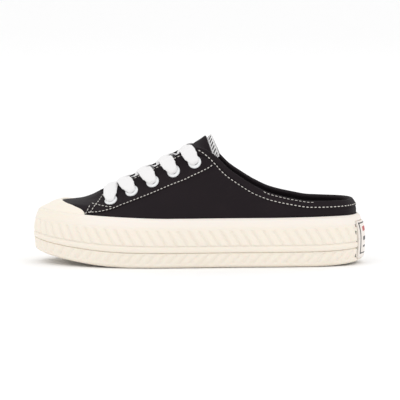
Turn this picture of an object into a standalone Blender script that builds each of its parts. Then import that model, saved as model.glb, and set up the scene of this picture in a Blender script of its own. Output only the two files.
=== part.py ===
"""A left low-backed canvas sneaker on a ribbed platform sole, in metres, standing on z = 0.

The toe points to -X, the outer (lateral) side faces -Y and +Z is up. Sizes below are in millimetres.
"""

import math

import bmesh
import bpy
import numpy as np
from mathutils import Matrix, Vector

MM = 0.001

# Overall sizes
LENGTH = 270.0
BALL_WIDTH = 101.0
SOLE_HEIGHT = 39.5
INSTEP_WALL = 56.0
HEEL_WALL = 12.5

# Fit between neighbouring pieces
GAP = 0.3

# Sole
TOE_SPRING = 10.0
TOE_SPRING_RUN = 80.0
HEEL_RISE = 3.0
HEEL_RISE_RUN = 40.0
TOE_RIM_RISE = 4.5
TOE_RIM_RUN = 110.0
RIM_INSET = 4.2
RIM_WIDTH = 2.5
LOWER_TUCK = 1.4
CORNER_INSET = 4.5
CORNER_HEIGHT = 2.2
LAYER_SPLIT = 0.314
GROOVE_DEPTH = 1.7
BEAD_TOP = 0.45
RIB_PITCH = 8.6
RIB_DEPTH = 1.3
LOWER_RIB_LEAN = math.radians(43)
UPPER_RIB_LEAN = math.radians(32)
BED_HEIGHT = 18.0
HEEL_LIFT = 5.0
TREAD_PITCH = 9.0
TREAD_WIDTH = 3.0
TREAD_DEPTH = 1.5

# Upper
WALL = 2.0
SIDE_BULGE = 1.6
OVERLAY = 1.0
OVERLAY_FIT = 0.5
CAP_THICKNESS = 1.5
CAP_SIDE_ARC = 64.5
CAP_LOW = 0.035
CAP_LEAST = 0.06
BINDING_WIDTH = 5.0
BINDING_THICKNESS = 0.8
BINDING_FIT = 0.6

# Eyelets and lace
EYELET_COUNT = 5
EYELET_FIRST = 0.237
EYELET_LAST = 0.488
# Eyelets' distance below the throat's edge, by share of the length
EYELET_DROPS = (
    # along, below
    (0.237, 17.6),
    (0.300, 14.1),
    (0.363, 13.0),
    (0.425, 12.7),
    (0.488, 11.6),
)
EYELET_FLANGE = 5.0
EYELET_BORE = 2.2
EYELET_BARREL = 2.8
EYELET_LIP = 0.8
LACE_WIDTH = 9.0
LACE_THICKNESS = 2.0
LACE_CLEARANCE = 0.9
LACE_EDGE_LIFT = 1.8
LACE_END_FIT = 1.0
LACE_START = 0.037
LACE_MIDDLE = 0.02
LACE_BEND = 0.008
LACE_PASS = 0.35

# Insole, tongue and small parts
INSOLE_THICKNESS = 4.5
INSOLE_DISH = 1.2
INSOLE_DISH_RUN = 9.0
INSOLE_EDGE = 0.8
INSOLE_EDGE_DROP = 0.6
TONGUE_THICKNESS = 2.4
LABEL_THICKNESS = 0.8
PATCH_WIDTH = 38.0
PATCH_LOW = 0.08
PATCH_HIGH = 0.86
PATCH_RECESS = 1.0
PATCH_THICKNESS = 1.8

# Plan of the sole: shares of the length from the toe, and of the ball width from the axis
SOLE_PLAN = (
    # along, across
    (1.000, 0.000),
    (0.968, -0.235),
    (0.880, -0.350),
    (0.760, -0.395),
    (0.610, -0.425),
    (0.460, -0.470),
    (0.330, -0.490),
    (0.205, -0.440),
    (0.100, -0.320),
    (0.030, -0.160),
    (0.000, 0.065),
    (0.025, 0.270),
    (0.095, 0.425),
    (0.200, 0.500),
    (0.310, 0.500),
    (0.460, 0.440),
    (0.610, 0.395),
    (0.760, 0.380),
    (0.880, 0.345),
    (0.968, 0.235),
)

# Sections of the upper: where a section starts at the sole and ends at the throat or collar edge
# (shares of the length), how far out that edge lies (share of the half width) and how high it is
# (share of the rise from heel collar to eyestay top)
UPPER_SECTIONS = (
    # base, edge, out, rise
    (0.026, 0.196, 0.360, 0.126),
    (0.060, 0.198, 0.360, 0.129),
    (0.110, 0.204, 0.345, 0.146),
    (0.160, 0.218, 0.320, 0.185),
    (0.205, 0.240, 0.315, 0.242),
    (0.250, 0.268, 0.330, 0.326),
    (0.298, 0.303, 0.355, 0.436),
    (0.367, 0.367, 0.400, 0.638),
    (0.420, 0.420, 0.455, 0.822),
    (0.455, 0.455, 0.500, 0.928),
    (0.488, 0.488, 0.545, 1.000),
    (0.511, 0.511, 0.600, 0.978),
    (0.533, 0.533, 0.640, 0.917),
    (0.552, 0.552, 0.675, 0.837),
    (0.589, 0.589, 0.730, 0.611),
    (0.628, 0.628, 0.780, 0.441),
    (0.665, 0.665, 0.820, 0.299),
    (0.715, 0.715, 0.860, 0.156),
    (0.778, 0.777, 0.895, 0.062),
    (0.837, 0.834, 0.915, 0.006),
    (0.900, 0.893, 0.925, 0.000),
    (0.974, 0.961, 0.930, 0.000),
)

# Toe: height gained (share) over the way from the sole's rim to the throat (share)
TOE_PROFILE = (
    # way, height
    (0.00, 0.00),
    (0.10, 0.15),
    (0.20, 0.33),
    (0.30, 0.44),
    (0.45, 0.50),
    (0.70, 0.63),
    (0.85, 0.79),
    (1.00, 1.00),
)

# Rear edge of the toe cap: share of the way from rim to throat, by share of the cap's side arc
CAP_EDGE = (
    # arc, way
    (0.00, 0.360),
    (0.22, 0.338),
    (0.64, 0.247),
    (0.77, 0.201),
    (0.91, 0.144),
    (1.00, 0.060),
)

# Lower edge of the eyestay: share of the way from sole to edge, by share of the length
EYESTAY_EDGE = (
    # base, way
    (0.170, 0.140),
    (0.200, 0.155),
    (0.217, 0.185),
    (0.250, 0.310),
    (0.288, 0.420),
    (0.351, 0.500),
    (0.411, 0.530),
    (0.456, 0.543),
    (0.488, 0.570),
    (0.517, 0.656),
    (0.533, 0.735),
    (0.548, 0.830),
)

# Tongue: crest height (share of the rise from heel collar to eyestay top), half width (share of
# the ball width) and sweep of its sides to the heel (share of the length)
TONGUE_SECTIONS = (
    # along, crest, half, sweep
    (0.182, 0.026, 0.120, 0.000),
    (0.215, 0.118, 0.170, 0.000),
    (0.260, 0.251, 0.195, 0.000),
    (0.320, 0.449, 0.205, 0.003),
    (0.380, 0.639, 0.210, 0.007),
    (0.440, 0.804, 0.215, 0.014),
    (0.480, 1.026, 0.212, 0.024),
    (0.518, 1.213, 0.200, 0.034),
    (0.532, 1.299, 0.192, 0.038),
    (0.550, 1.379, 0.185, 0.040),
)
TONGUE_END = 0.518
TONGUE_LEVEL = 0.72
TONGUE_FALL = 0.08
TONGUE_ARCH = 0.358
TONGUE_ARCH_START = 0.475
LABEL_START = 0.492
LABEL_END = 0.529
LABEL_HALF = 0.88
LABEL_FIT = 1.6

COLUMNS_PER_RIB = 2
UPPER_COLUMNS = 76
UPPER_ROWS = 6
RING_COLUMNS = 52


def smooth(table, column, where):
    """Read a table between its rows with a cubic through them that never overshoots."""
    rows = np.array(table)
    xs = rows[:, 0]
    ys = rows[:, column]
    steps = np.diff(xs)
    slopes = np.diff(ys) / steps
    both = slopes[1:] * slopes[:-1]
    inner = np.where(both > 0, 2 * both / (slopes[1:] + slopes[:-1] + 1e-12), 0)
    tangents = np.concatenate([slopes[:1], inner, slopes[-1:]])
    where = np.clip(np.asarray(where, float), xs[0], xs[-1])
    index = np.clip(np.searchsorted(xs, where) - 1, 0, len(steps) - 1)
    step = steps[index]
    part = (where - xs[index]) / step
    rest = 1 - part
    start = rest**2 * ((1 + 2 * part) * ys[index] + part * step * tangents[index])
    end = part**2 * ((1 + 2 * rest) * ys[index + 1] - rest * step * tangents[index + 1])
    return start + end


def ease(value, low, high):
    """0 below low, 1 above high, and a smooth step between."""
    part = np.clip((np.asarray(value, float) - low) / (high - low), 0, 1)
    return part * part * (3 - 2 * part)


class Outline:
    """The sole's closed plan curve, read by share of its way round from the heel's middle."""

    def __init__(self, samples=1600):
        rows = np.array(SOLE_PLAN)
        corners = np.column_stack([(rows[:, 0] - 0.5) * LENGTH, rows[:, 1] * BALL_WIDTH])
        count = len(corners)
        points = []
        for index in range(count):
            before, start, end, after = (corners[(index + k - 1) % count] for k in range(4))
            for part in np.arange(0, 1, count / samples):
                points.append(
                    0.5
                    * (
                        2 * start
                        + (end - before) * part
                        + (2 * before - 5 * start + 4 * end - after) * part**2
                        + (3 * start - before - 3 * end + after) * part**3
                    )
                )
        self.points = np.array(points + points[:1])
        ways = np.linalg.norm(np.diff(self.points, axis=0), axis=1)
        self.round = float(ways.sum())
        self.shares = np.concatenate([[0], np.cumsum(ways)]) / self.round
        tip = int(np.argmin(self.points[:, 0]))
        self.toe = float(self.shares[tip])
        self.lateral = self.points[: tip + 1][::-1]
        self.medial = self.points[tip:]

    def at(self, share):
        share = np.mod(share, 1.0)
        return np.stack([np.interp(share, self.shares, self.points[:, k]) for k in (0, 1)], axis=-1)

    def normal(self, share):
        """Unit vector out of the curve."""
        ahead = self.at(np.asarray(share) + 0.004) - self.at(np.asarray(share) - 0.004)
        out = np.stack([-ahead[..., 1], ahead[..., 0]], axis=-1)
        return out / np.linalg.norm(out, axis=-1, keepdims=True)

    def inset(self, share, depth):
        return self.at(share) - self.normal(share) * np.asarray(depth)[..., None]

    def centre(self, x):
        """The y halfway between the two sides."""
        low = np.interp(x, self.lateral[:, 0], self.lateral[:, 1])
        high = np.interp(x, self.medial[:, 0], self.medial[:, 1])
        return (low + high) / 2

    def half(self, x):
        low = np.interp(x, self.lateral[:, 0], self.lateral[:, 1])
        high = np.interp(x, self.medial[:, 0], self.medial[:, 1])
        return (high - low) / 2


OUTLINE = Outline()
UPPER_INSET = RIM_INSET + RIM_WIDTH + GAP


def sole_bottom(x):
    toe = np.clip((TOE_SPRING_RUN - (x + LENGTH / 2)) / TOE_SPRING_RUN, 0, 1)
    heel = np.clip((HEEL_RISE_RUN - (LENGTH / 2 - x)) / HEEL_RISE_RUN, 0, 1)
    return TOE_SPRING * toe**1.8 + HEEL_RISE * heel**2


def sole_top(x):
    toe = np.clip((TOE_RIM_RUN - (x + LENGTH / 2)) / TOE_RIM_RUN, 0, 1)
    heel = ease(x, 0.2 * LENGTH, 0.45 * LENGTH)
    return SOLE_HEIGHT + TOE_RIM_RISE * toe**1.3 + 0.02 * SOLE_HEIGHT * heel


def bed_floor(x):
    return sole_bottom(x) + BED_HEIGHT + HEEL_LIFT * ease(x, -0.1 * LENGTH, 0.25 * LENGTH)


def side_inset(level):
    """How far the sole's side lies inside the outline at a share of its height."""
    upper = RIM_INSET * np.clip((level - 0.5) / 0.5, 0, 1) ** 2
    lower = LOWER_TUCK * np.clip((0.5 - level) / 0.5, 0, 1) ** 2
    return upper + lower


def behind_patch(share):
    """1 at the back of the heel where the patch sits, 0 elsewhere."""
    way = np.abs(np.mod(np.asarray(share) + 0.5, 1.0) - 0.5) * OUTLINE.round
    return 1 - ease(way, PATCH_WIDTH / 2, PATCH_WIDTH / 2 + RIB_PITCH / 2)


def mesh_object(name, collection, vertices, faces):
    mesh = bpy.data.meshes.new(name)
    mesh.from_pydata([tuple(float(value) * MM for value in vertex) for vertex in vertices], [], faces)
    maker = bmesh.new()
    maker.from_mesh(mesh)
    bmesh.ops.recalc_face_normals(maker, faces=maker.faces)
    if maker.calc_volume(signed=True) < 0:
        bmesh.ops.reverse_faces(maker, faces=maker.faces)
    maker.to_mesh(mesh)
    maker.free()
    mesh.update()
    thing = bpy.data.objects.new(name, mesh)
    collection.objects.link(thing)
    return thing


def band_faces(level, count, closed):
    """Faces between one row of points and the next."""
    low = level * count
    high = low + count
    faces = []
    for k in range(count if closed else count - 1):
        after = (k + 1) % count
        faces.append((low + k, low + after, high + after, high + k))
    return faces


def ring_loft(name, collection, rings):
    """Closed loft through rings of points; the end caps are strips from side to side."""
    count = len(rings[0])
    vertices = [point for ring in rings for point in ring]
    faces = []
    for level in range(len(rings) - 1):
        faces += band_faces(level, count, True)
    for start in (0, (len(rings) - 1) * count):
        faces.append((start, start + 1, start + count - 1))
        for k in range(1, count // 2 - 1):
            faces.append((start + k, start + k + 1, start + count - k - 1, start + count - k))
        middle = count // 2
        if count % 2:
            faces.append((start + middle - 1, start + middle, start + middle + 1, start + middle + 2))
        else:
            faces.append((start + middle - 1, start + middle, start + middle + 1))
    return mesh_object(name, collection, vertices, faces)


def sheet(name, collection, grid, closed=False):
    """Open surface through a grid of points, a row for each line across it."""
    rows, columns = grid.shape[:2]
    vertices = grid.reshape(-1, 3)
    faces = []
    for row in range(rows - 1):
        faces += band_faces(row, columns, closed)
    return mesh_object(name, collection, vertices, faces)


def shell(name, collection, grid, thickness, outward, closed=False):
    """A sheet given its thickness away from, or towards, the shoe's inside."""
    thing = sheet(name, collection, grid, closed)
    points_out = facing_out(thing, grid)
    solid = thing.modifiers.new("wall", "SOLIDIFY")
    solid.thickness = thickness * MM
    solid.offset = (1.0 if outward else -1.0) * points_out
    solid.use_even_offset = True
    solid.use_quality_normals = True
    return thing


def facing_out(thing, grid):
    """1 where the sheet's faces look away from the middle of the shoe, else -1."""
    middle = Vector((0.0, 0.0, SOLE_HEIGHT * MM))
    total = 0.0
    for face in thing.data.polygons:
        total += face.area * face.normal.dot(face.center - middle)
    return 1.0 if total > 0 else -1.0


def boolean(thing, other, operation="DIFFERENCE"):
    step = thing.modifiers.new(operation.lower(), "BOOLEAN")
    step.operation = operation
    step.solver = "EXACT"
    step.object = other
    other.hide_render = True
    other.display_type = "WIRE"


def material(thing, colour, roughness, metallic=0.0):
    made = bpy.data.materials.new(thing.name)
    made.use_nodes = True
    shader = made.node_tree.nodes["Principled BSDF"]
    shader.inputs["Base Color"].default_value = (*colour, 1.0)
    shader.inputs["Roughness"].default_value = roughness
    shader.inputs["Metallic"].default_value = metallic
    thing.data.materials.append(made)


CANVAS = ((0.018, 0.016, 0.018), 0.9)
RUBBER = ((0.87, 0.80, 0.68), 0.55)
COTTON = ((0.85, 0.85, 0.82), 0.85)
METAL = ((0.82, 0.82, 0.80), 0.3, 0.6)
FOOTBED = ((0.06, 0.055, 0.06), 0.9)


def side_ring(columns, level, inset, lean, rib_depth, split_gap=0.0):
    """One ring of the sole's side at a share of its height, with every other column sunk for a rib."""
    shares = columns / len(columns)
    normals = OUTLINE.normal(shares)
    shifted = shares - normals[:, 1] * lean / OUTLINE.round
    patch = behind_patch(shares)
    recess = PATCH_RECESS if PATCH_LOW / 2 < level < PATCH_HIGH + 0.04 else 0.0
    sunk = np.where(np.arange(len(columns)) % COLUMNS_PER_RIB == 1, rib_depth, 0.0) * (1 - patch)
    depth = side_inset(level) + inset * (1 - patch) + sunk + patch * recess
    plan = OUTLINE.inset(shifted, depth)
    bottom = sole_bottom(plan[:, 0])
    height = bottom + level * (sole_top(plan[:, 0]) - bottom) + split_gap
    return np.column_stack([plan, height])


def rib_columns():
    ribs = round(OUTLINE.round / RIB_PITCH)
    return np.arange(ribs * COLUMNS_PER_RIB)


def make_outsole(collection, cutters):
    columns = rib_columns()
    low = CORNER_HEIGHT / SOLE_HEIGHT
    rib_start = 0.09
    rib_end = 0.28
    slant = math.tan(LOWER_RIB_LEAN) * (rib_end - rib_start) * SOLE_HEIGHT / 2
    rings = [
        side_ring(columns, 0.0, CORNER_INSET, slant, 0.0),
        side_ring(columns, low, 0.6, slant, 0.0),
        side_ring(columns, rib_start, 0.0, slant, RIB_DEPTH),
        side_ring(columns, rib_end, 0.0, -slant, RIB_DEPTH),
        side_ring(columns, LAYER_SPLIT, GROOVE_DEPTH, -slant, 0.0, -GAP / 2),
    ]
    outsole = ring_loft("outsole", collection, rings)
    boolean(outsole, tread_cutter(cutters))
    material(outsole, *RUBBER)
    return outsole


def tread_cutter(cutters):
    """Bars across the forefoot and the heel, each a shallow groove in the underside."""
    maker = bmesh.new()
    for start, end in ((0.13, 0.43), (0.66, 0.92)):
        count = int((end - start) * LENGTH / TREAD_PITCH)
        for k in range(count + 1):
            x = (start - 0.5) * LENGTH + k * TREAD_PITCH
            half = float(OUTLINE.half(x)) - 3.0 * CORNER_INSET
            size = Matrix.Diagonal((TREAD_WIDTH * MM, 2 * half * MM, 2 * TREAD_DEPTH * MM, 1.0))
            place = Vector((x * MM, float(OUTLINE.centre(x)) * MM, float(sole_bottom(np.array(x))) * MM))
            slope = float(sole_bottom(np.array(x + 1.0)) - sole_bottom(np.array(x - 1.0))) / 2
            turn = Matrix.Rotation(-math.atan(slope), 4, "Y")
            bmesh.ops.create_cube(maker, size=1.0, matrix=Matrix.Translation(place) @ turn @ size)
    mesh = bpy.data.meshes.new("tread_cutter")
    maker.to_mesh(mesh)
    maker.free()
    cutter = bpy.data.objects.new("tread_cutter", mesh)
    cutters.objects.link(cutter)
    return cutter


def make_midsole(collection, cutters):
    columns = rib_columns()
    rib_start = BEAD_TOP + 0.025
    rib_end = 0.765
    slant = math.tan(UPPER_RIB_LEAN) * (rib_end - rib_start) * SOLE_HEIGHT / 2
    bead_middle = (LAYER_SPLIT + BEAD_TOP) / 2
    rings = [
        side_ring(columns, LAYER_SPLIT, GROOVE_DEPTH, -slant, 0.0, GAP / 2),
        side_ring(columns, bead_middle, 0.0, -slant, 0.0),
        side_ring(columns, BEAD_TOP, GROOVE_DEPTH, -slant, 0.0),
        side_ring(columns, rib_start, 0.2, -slant, RIB_DEPTH),
        side_ring(columns, rib_end, 0.2, slant, RIB_DEPTH),
        side_ring(columns, 0.965, 0.0, slant, 0.0),
        side_ring(columns, 1.0, 0.6, slant, 0.0),
    ]
    midsole = ring_loft("midsole", collection, rings)
    boolean(midsole, bed_cutter(cutters))
    material(midsole, *RUBBER)
    return midsole


def bed_ring(depth, lift, columns):
    shares = np.arange(columns) / columns
    plan = OUTLINE.inset(shares, np.full(columns, depth))
    return np.column_stack([plan, bed_floor(plan[:, 0]) + lift])


def bed_cutter(cutters):
    """The hollow for insole and upper."""
    depth = RIM_INSET + RIM_WIDTH
    top = bed_ring(depth, SOLE_HEIGHT, UPPER_COLUMNS)
    return ring_loft("bed_cutter", cutters, [bed_ring(depth, 0.0, UPPER_COLUMNS), top])


def make_insole(collection):
    depth = UPPER_INSET + WALL + 2 * GAP
    edge = INSOLE_THICKNESS
    rings = [
        bed_ring(depth, GAP, RING_COLUMNS),
        bed_ring(depth, GAP + edge - INSOLE_EDGE_DROP, RING_COLUMNS),
        bed_ring(depth + INSOLE_EDGE, GAP + edge, RING_COLUMNS),
        bed_ring(depth + INSOLE_DISH_RUN, GAP + edge - INSOLE_DISH, RING_COLUMNS),
    ]
    insole = ring_loft("insole", collection, rings)
    material(insole, *FOOTBED)
    return insole


def upper_surface(share, way):
    """A point of the upper's outer face: share round the outline, and way from rim (0) to edge (1).

    Ways from -1 to 0 run down the skirt inside the sole's hollow.
    """
    share, way = np.broadcast_arrays(np.asarray(share, float), np.asarray(way, float))
    base = OUTLINE.inset(share, np.full(share.shape, UPPER_INSET))
    along = base[..., 0] / LENGTH + 0.5
    edge_x = (smooth(UPPER_SECTIONS, 1, along) - 0.5) * LENGTH
    out = smooth(UPPER_SECTIONS, 2, along)
    edge_y = OUTLINE.centre(edge_x) + (base[..., 1] - OUTLINE.centre(base[..., 0])) * out
    rise = smooth(UPPER_SECTIONS, 3, along)
    edge_z = SOLE_HEIGHT + HEEL_WALL + rise * (INSTEP_WALL - HEEL_WALL)
    rim = sole_top(base[..., 0])
    climb = np.clip(way, 0, 1)
    toe = 1 - ease(along, 0.08, 0.26)
    height = climb * (1 - toe) + smooth(TOE_PROFILE, 1, climb) * toe
    bulge = SIDE_BULGE * np.sin(np.pi * climb) * (1 - toe)
    normal = OUTLINE.normal(share)
    x = base[..., 0] + (edge_x - base[..., 0]) * climb + normal[..., 0] * bulge
    y = base[..., 1] + (edge_y - base[..., 1]) * climb + normal[..., 1] * bulge
    skirt = np.clip(way, -1, 0) * (rim - bed_floor(base[..., 0]) - GAP)
    return np.stack([x, y, rim + (edge_z - rim) * height + skirt], axis=-1)


def upper_normal(share, way):
    step = 0.002
    ahead = upper_surface(np.asarray(share) + step, way) - upper_surface(np.asarray(share) - step, way)
    high = np.clip(np.asarray(way) + 0.02, None, 1.0)
    up = upper_surface(share, high) - upper_surface(share, high - 0.04)
    out = np.cross(up, ahead)
    return out / np.linalg.norm(out, axis=-1, keepdims=True)


def on_upper(share, way, offset):
    return upper_surface(share, way) + upper_normal(share, way) * np.asarray(offset)[..., None]


def column_length(share):
    return np.linalg.norm(upper_surface(share, 1.0) - upper_surface(share, 0.0), axis=-1)


def way_below_edge(share, distance):
    return 1 - distance / column_length(share)


def share_at(side, x, distance):
    """Share round the outline of the column that passes x at a distance below the edge."""
    shares = np.linspace(0.02, OUTLINE.toe - 0.02, 400)
    if side > 0:
        shares = np.linspace(OUTLINE.toe + 0.02, 0.98, 400)
    xs = upper_surface(shares, way_below_edge(shares, distance))[:, 0]
    order = np.argsort(xs)
    return float(np.interp(x, xs[order], shares[order]))


def make_upper(collection, holes):
    shares = np.arange(UPPER_COLUMNS) / UPPER_COLUMNS
    ways = np.concatenate([[-1.0, -0.12], np.linspace(0.0, 1.0, UPPER_ROWS)])
    grid = upper_surface(shares[None, :], ways[:, None])
    upper = shell("upper", collection, grid, WALL, outward=False, closed=True)
    boolean(upper, holes)
    material(upper, *CANVAS)
    return upper


def make_toe_cap(collection):
    """Rubber cap: a patch of the upper's own face, set off from it and thickened."""
    reach = CAP_SIDE_ARC / OUTLINE.round
    shares = np.arange(UPPER_COLUMNS) / UPPER_COLUMNS
    shares = shares[np.abs(shares - OUTLINE.toe) < reach * 0.98]
    shares = np.concatenate([[OUTLINE.toe - reach], shares, [OUTLINE.toe + reach]])
    part = np.abs(shares - OUTLINE.toe) / reach
    top = np.maximum(smooth(CAP_EDGE, 1, part), CAP_LOW + CAP_LEAST)
    rows = np.linspace(0, 1, 6)
    ways = CAP_LOW + (top - CAP_LOW)[None, :] * rows[:, None]
    grid = on_upper(np.broadcast_to(shares, ways.shape), ways, np.full(ways.shape, OVERLAY_FIT))
    cap = shell("toe_cap", collection, grid, CAP_THICKNESS, outward=True)
    material(cap, *RUBBER)
    return cap


def make_eyestay(name, side, collection, holes):
    """Facing over the quarter, from its lower seam up to the throat and, past it, to the binding."""
    shares = np.arange(UPPER_COLUMNS) / UPPER_COLUMNS
    along = OUTLINE.inset(shares, np.full(len(shares), UPPER_INSET))[:, 0] / LENGTH + 0.5
    own = shares > OUTLINE.toe if side > 0 else shares < OUTLINE.toe
    chosen = shares[own & (along > 0.165) & (along < 0.548)]
    along = OUTLINE.inset(chosen, np.full(len(chosen), UPPER_INSET))[:, 0] / LENGTH + 0.5
    low = smooth(EYESTAY_EDGE, 1, along)
    taken = (BINDING_WIDTH + 2 * GAP) * ease(along, EYELET_LAST - 0.02, EYELET_LAST + 0.005)
    high = way_below_edge(chosen, taken)
    rows = np.linspace(0, 1, 4)
    ways = low[None, :] + (high - low)[None, :] * rows[:, None]
    grid = on_upper(np.broadcast_to(chosen, ways.shape), ways, np.full(ways.shape, OVERLAY_FIT))
    eyestay = shell(name, collection, grid, OVERLAY, outward=True)
    boolean(eyestay, holes)
    material(eyestay, *CANVAS)
    return eyestay


def eyelet_drop(along):
    table = np.array(EYELET_DROPS)
    return float(np.interp(along, table[:, 0], table[:, 1]))


def eyelet_places(side):
    """Centre and axis of each eyelet on the eyestay's outer face, from the toe up."""
    places = []
    for share_of_length in np.linspace(EYELET_FIRST, EYELET_LAST, EYELET_COUNT):
        x = (share_of_length - 0.5) * LENGTH
        drop = eyelet_drop(share_of_length)
        share = share_at(side, x, drop)
        way = float(way_below_edge(np.array(share), drop))
        face = OVERLAY_FIT + OVERLAY
        centre = on_upper(np.array(share), np.array(way), np.array(face))
        places.append((Vector(centre), Vector(upper_normal(np.array(share), np.array(way)))))
    return places


def make_hole_cutter(cutters):
    maker = bmesh.new()
    for side in (-1, 1):
        for centre, axis in eyelet_places(side):
            turn = Vector((0, 0, 1)).rotation_difference(axis).to_matrix().to_4x4()
            bmesh.ops.create_cone(
                maker,
                cap_ends=True,
                segments=10,
                radius1=(EYELET_BARREL + GAP) * MM,
                radius2=(EYELET_BARREL + GAP) * MM,
                depth=6 * WALL * MM,
                matrix=Matrix.Translation(centre * MM) @ turn,
            )
    mesh = bpy.data.meshes.new("eyelet_holes")
    maker.to_mesh(mesh)
    maker.free()
    cutter = bpy.data.objects.new("eyelet_holes", mesh)
    cutters.objects.link(cutter)
    return cutter


def make_eyelets(collection):
    """Turned rings, each with its barrel through the eyestay and the wall."""
    seat = GAP + 0.15
    depth = WALL + OVERLAY_FIT + OVERLAY
    profile = (
        (EYELET_BORE, seat + EYELET_LIP),
        (EYELET_FLANGE - 0.8, seat + EYELET_LIP),
        (EYELET_FLANGE, seat),
        (EYELET_BARREL, seat),
        (EYELET_BARREL, -depth),
        (EYELET_BORE, -depth),
    )
    mesh = bpy.data.meshes.new("eyelet")
    maker = bmesh.new()
    corners = [maker.verts.new((radius * MM, 0.0, height * MM)) for radius, height in profile]
    for k in range(len(corners)):
        maker.edges.new((corners[k], corners[(k + 1) % len(corners)]))
    maker.to_mesh(mesh)
    maker.free()
    for side, word in ((-1, "lateral"), (1, "medial")):
        for number, (centre, axis) in enumerate(eyelet_places(side), 1):
            ring = bpy.data.objects.new(f"eyelet_{word}_{number}", mesh.copy())
            collection.objects.link(ring)
            turn = ring.modifiers.new("turn", "SCREW")
            turn.steps = turn.render_steps = 10
            turn.use_merge_vertices = True
            turn.merge_threshold = 0.00001
            turn.use_smooth_shade = True
            ring.location = centre * MM
            ring.rotation_euler = Vector((0, 0, 1)).rotation_difference(axis).to_euler()
            material(ring, *METAL)


def make_binding(collection):
    """Folded tape over the collar's edge, from one eyestay's top round the heel to the other."""
    shares = np.arange(UPPER_COLUMNS) / UPPER_COLUMNS
    along = OUTLINE.inset(shares, np.full(len(shares), UPPER_INSET))[:, 0] / LENGTH + 0.5
    lateral = shares[(shares < OUTLINE.toe) & (along > EYELET_LAST + 0.012)]
    medial = shares[(shares > OUTLINE.toe) & (along > EYELET_LAST + 0.012)]
    shares = np.concatenate([medial, lateral])
    low = way_below_edge(shares, BINDING_WIDTH)
    edge = upper_surface(shares, 1.0)
    up = edge - upper_surface(shares, low)
    up = up / np.linalg.norm(up, axis=1, keepdims=True)
    out = upper_normal(shares, 1.0)
    fit = BINDING_FIT
    tape = BINDING_THICKNESS
    around = (
        on_upper(shares, low, np.full(len(shares), fit)),
        on_upper(shares, low, np.full(len(shares), fit + tape)),
        edge + out * (fit + tape) + up * fit,
        edge + out * fit + up * (fit + tape),
        edge - out * (WALL + fit) + up * (fit + tape),
        edge - out * (WALL + fit + tape) + up * fit,
        on_upper(shares, low, np.full(len(shares), -WALL - fit - tape)),
        on_upper(shares, low, np.full(len(shares), -WALL - fit)),
        edge - out * (WALL + fit) + up * fit,
        edge + out * fit + up * fit,
    )
    rings = [[corner[k] for corner in around] for k in range(len(shares))]
    binding = tube_loft("collar_binding", collection, rings)
    material(binding, *CANVAS)


def tube_loft(name, collection, rings):
    """Closed loft through a few corner points a ring, with flat ends."""
    count = len(rings[0])
    vertices = [point for ring in rings for point in ring]
    faces = [tuple(range(count)), tuple(range((len(rings) - 1) * count, len(rings) * count))]
    for level in range(len(rings) - 1):
        faces += band_faces(level, count, True)
    return mesh_object(name, collection, vertices, faces)


def tongue_point(along, across, offset):
    """Tongue's outer face: share of the length, and -1 to 1 from its lateral to its medial edge."""
    x = (along - 0.5) * LENGTH
    crest = SOLE_HEIGHT + HEEL_WALL + smooth(TONGUE_SECTIONS, 1, along) * (INSTEP_WALL - HEEL_WALL)
    half = smooth(TONGUE_SECTIONS, 2, along) * BALL_WIDTH
    sweep = smooth(TONGUE_SECTIONS, 3, along) * LENGTH
    gap_half = throat_half(along)
    y = across * half
    past = np.clip(np.abs(y) - TONGUE_LEVEL * gap_half, 0, None)
    arch = TONGUE_ARCH * INSTEP_WALL * ease(along, TONGUE_ARCH_START, TONGUE_END)
    drop = TONGUE_FALL * np.abs(y) + side_slope(along) * past**1.25 / 2 + arch * np.abs(across) ** 1.6
    back = x + sweep * np.abs(across) ** 1.5
    return np.stack([back, OUTLINE.centre(x) + y, crest - drop + offset], axis=-1)


def throat_half(along):
    """Half the throat's width at a share of the length."""
    share = np.interp(along, np.array(UPPER_SECTIONS)[:, 1], np.array(UPPER_SECTIONS)[:, 2])
    return share * (OUTLINE.half((along - 0.5) * LENGTH) - UPPER_INSET)


def side_slope(along):
    """Rise of the upper's side over its run, at a share of the length."""
    x = (along - 0.5) * LENGTH
    edge = SOLE_HEIGHT + HEEL_WALL + smooth(TONGUE_SECTIONS, 1, along) * (INSTEP_WALL - HEEL_WALL)
    run = OUTLINE.half(x) - UPPER_INSET - throat_half(along)
    return (edge - sole_top(x)) / run


def make_tongue(collection):
    along = np.linspace(TONGUE_SECTIONS[0][0], TONGUE_END, 19)
    across = np.linspace(-1, 1, 9)
    grid = tongue_point(along[:, None], across[None, :] + 0 * along[:, None], 0.0)
    tongue = shell("tongue", collection, grid, TONGUE_THICKNESS, outward=False)
    material(tongue, *CANVAS)
    return tongue


def tongue_normal(along, across):
    ahead = tongue_point(along + 0.004, across, 0.0) - tongue_point(along - 0.004, across, 0.0)
    beside = tongue_point(along, across + 0.03, 0.0) - tongue_point(along, across - 0.03, 0.0)
    out = np.cross(ahead, beside)
    return out / np.linalg.norm(out, axis=-1, keepdims=True)


def make_label(collection):
    """Woven label under the tongue's free end, standing a little past it."""
    rows = np.linspace(LABEL_START, LABEL_END, 5)
    columns = np.linspace(-LABEL_HALF, LABEL_HALF, 9)
    along, across = np.meshgrid(rows, columns, indexing="ij")
    depth = TONGUE_THICKNESS + LABEL_FIT
    grid = tongue_point(along, across, 0.0) - tongue_normal(along, across) * depth
    label = shell("tongue_label", collection, grid, LABEL_THICKNESS, outward=False)
    material(label, *COTTON)


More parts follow.
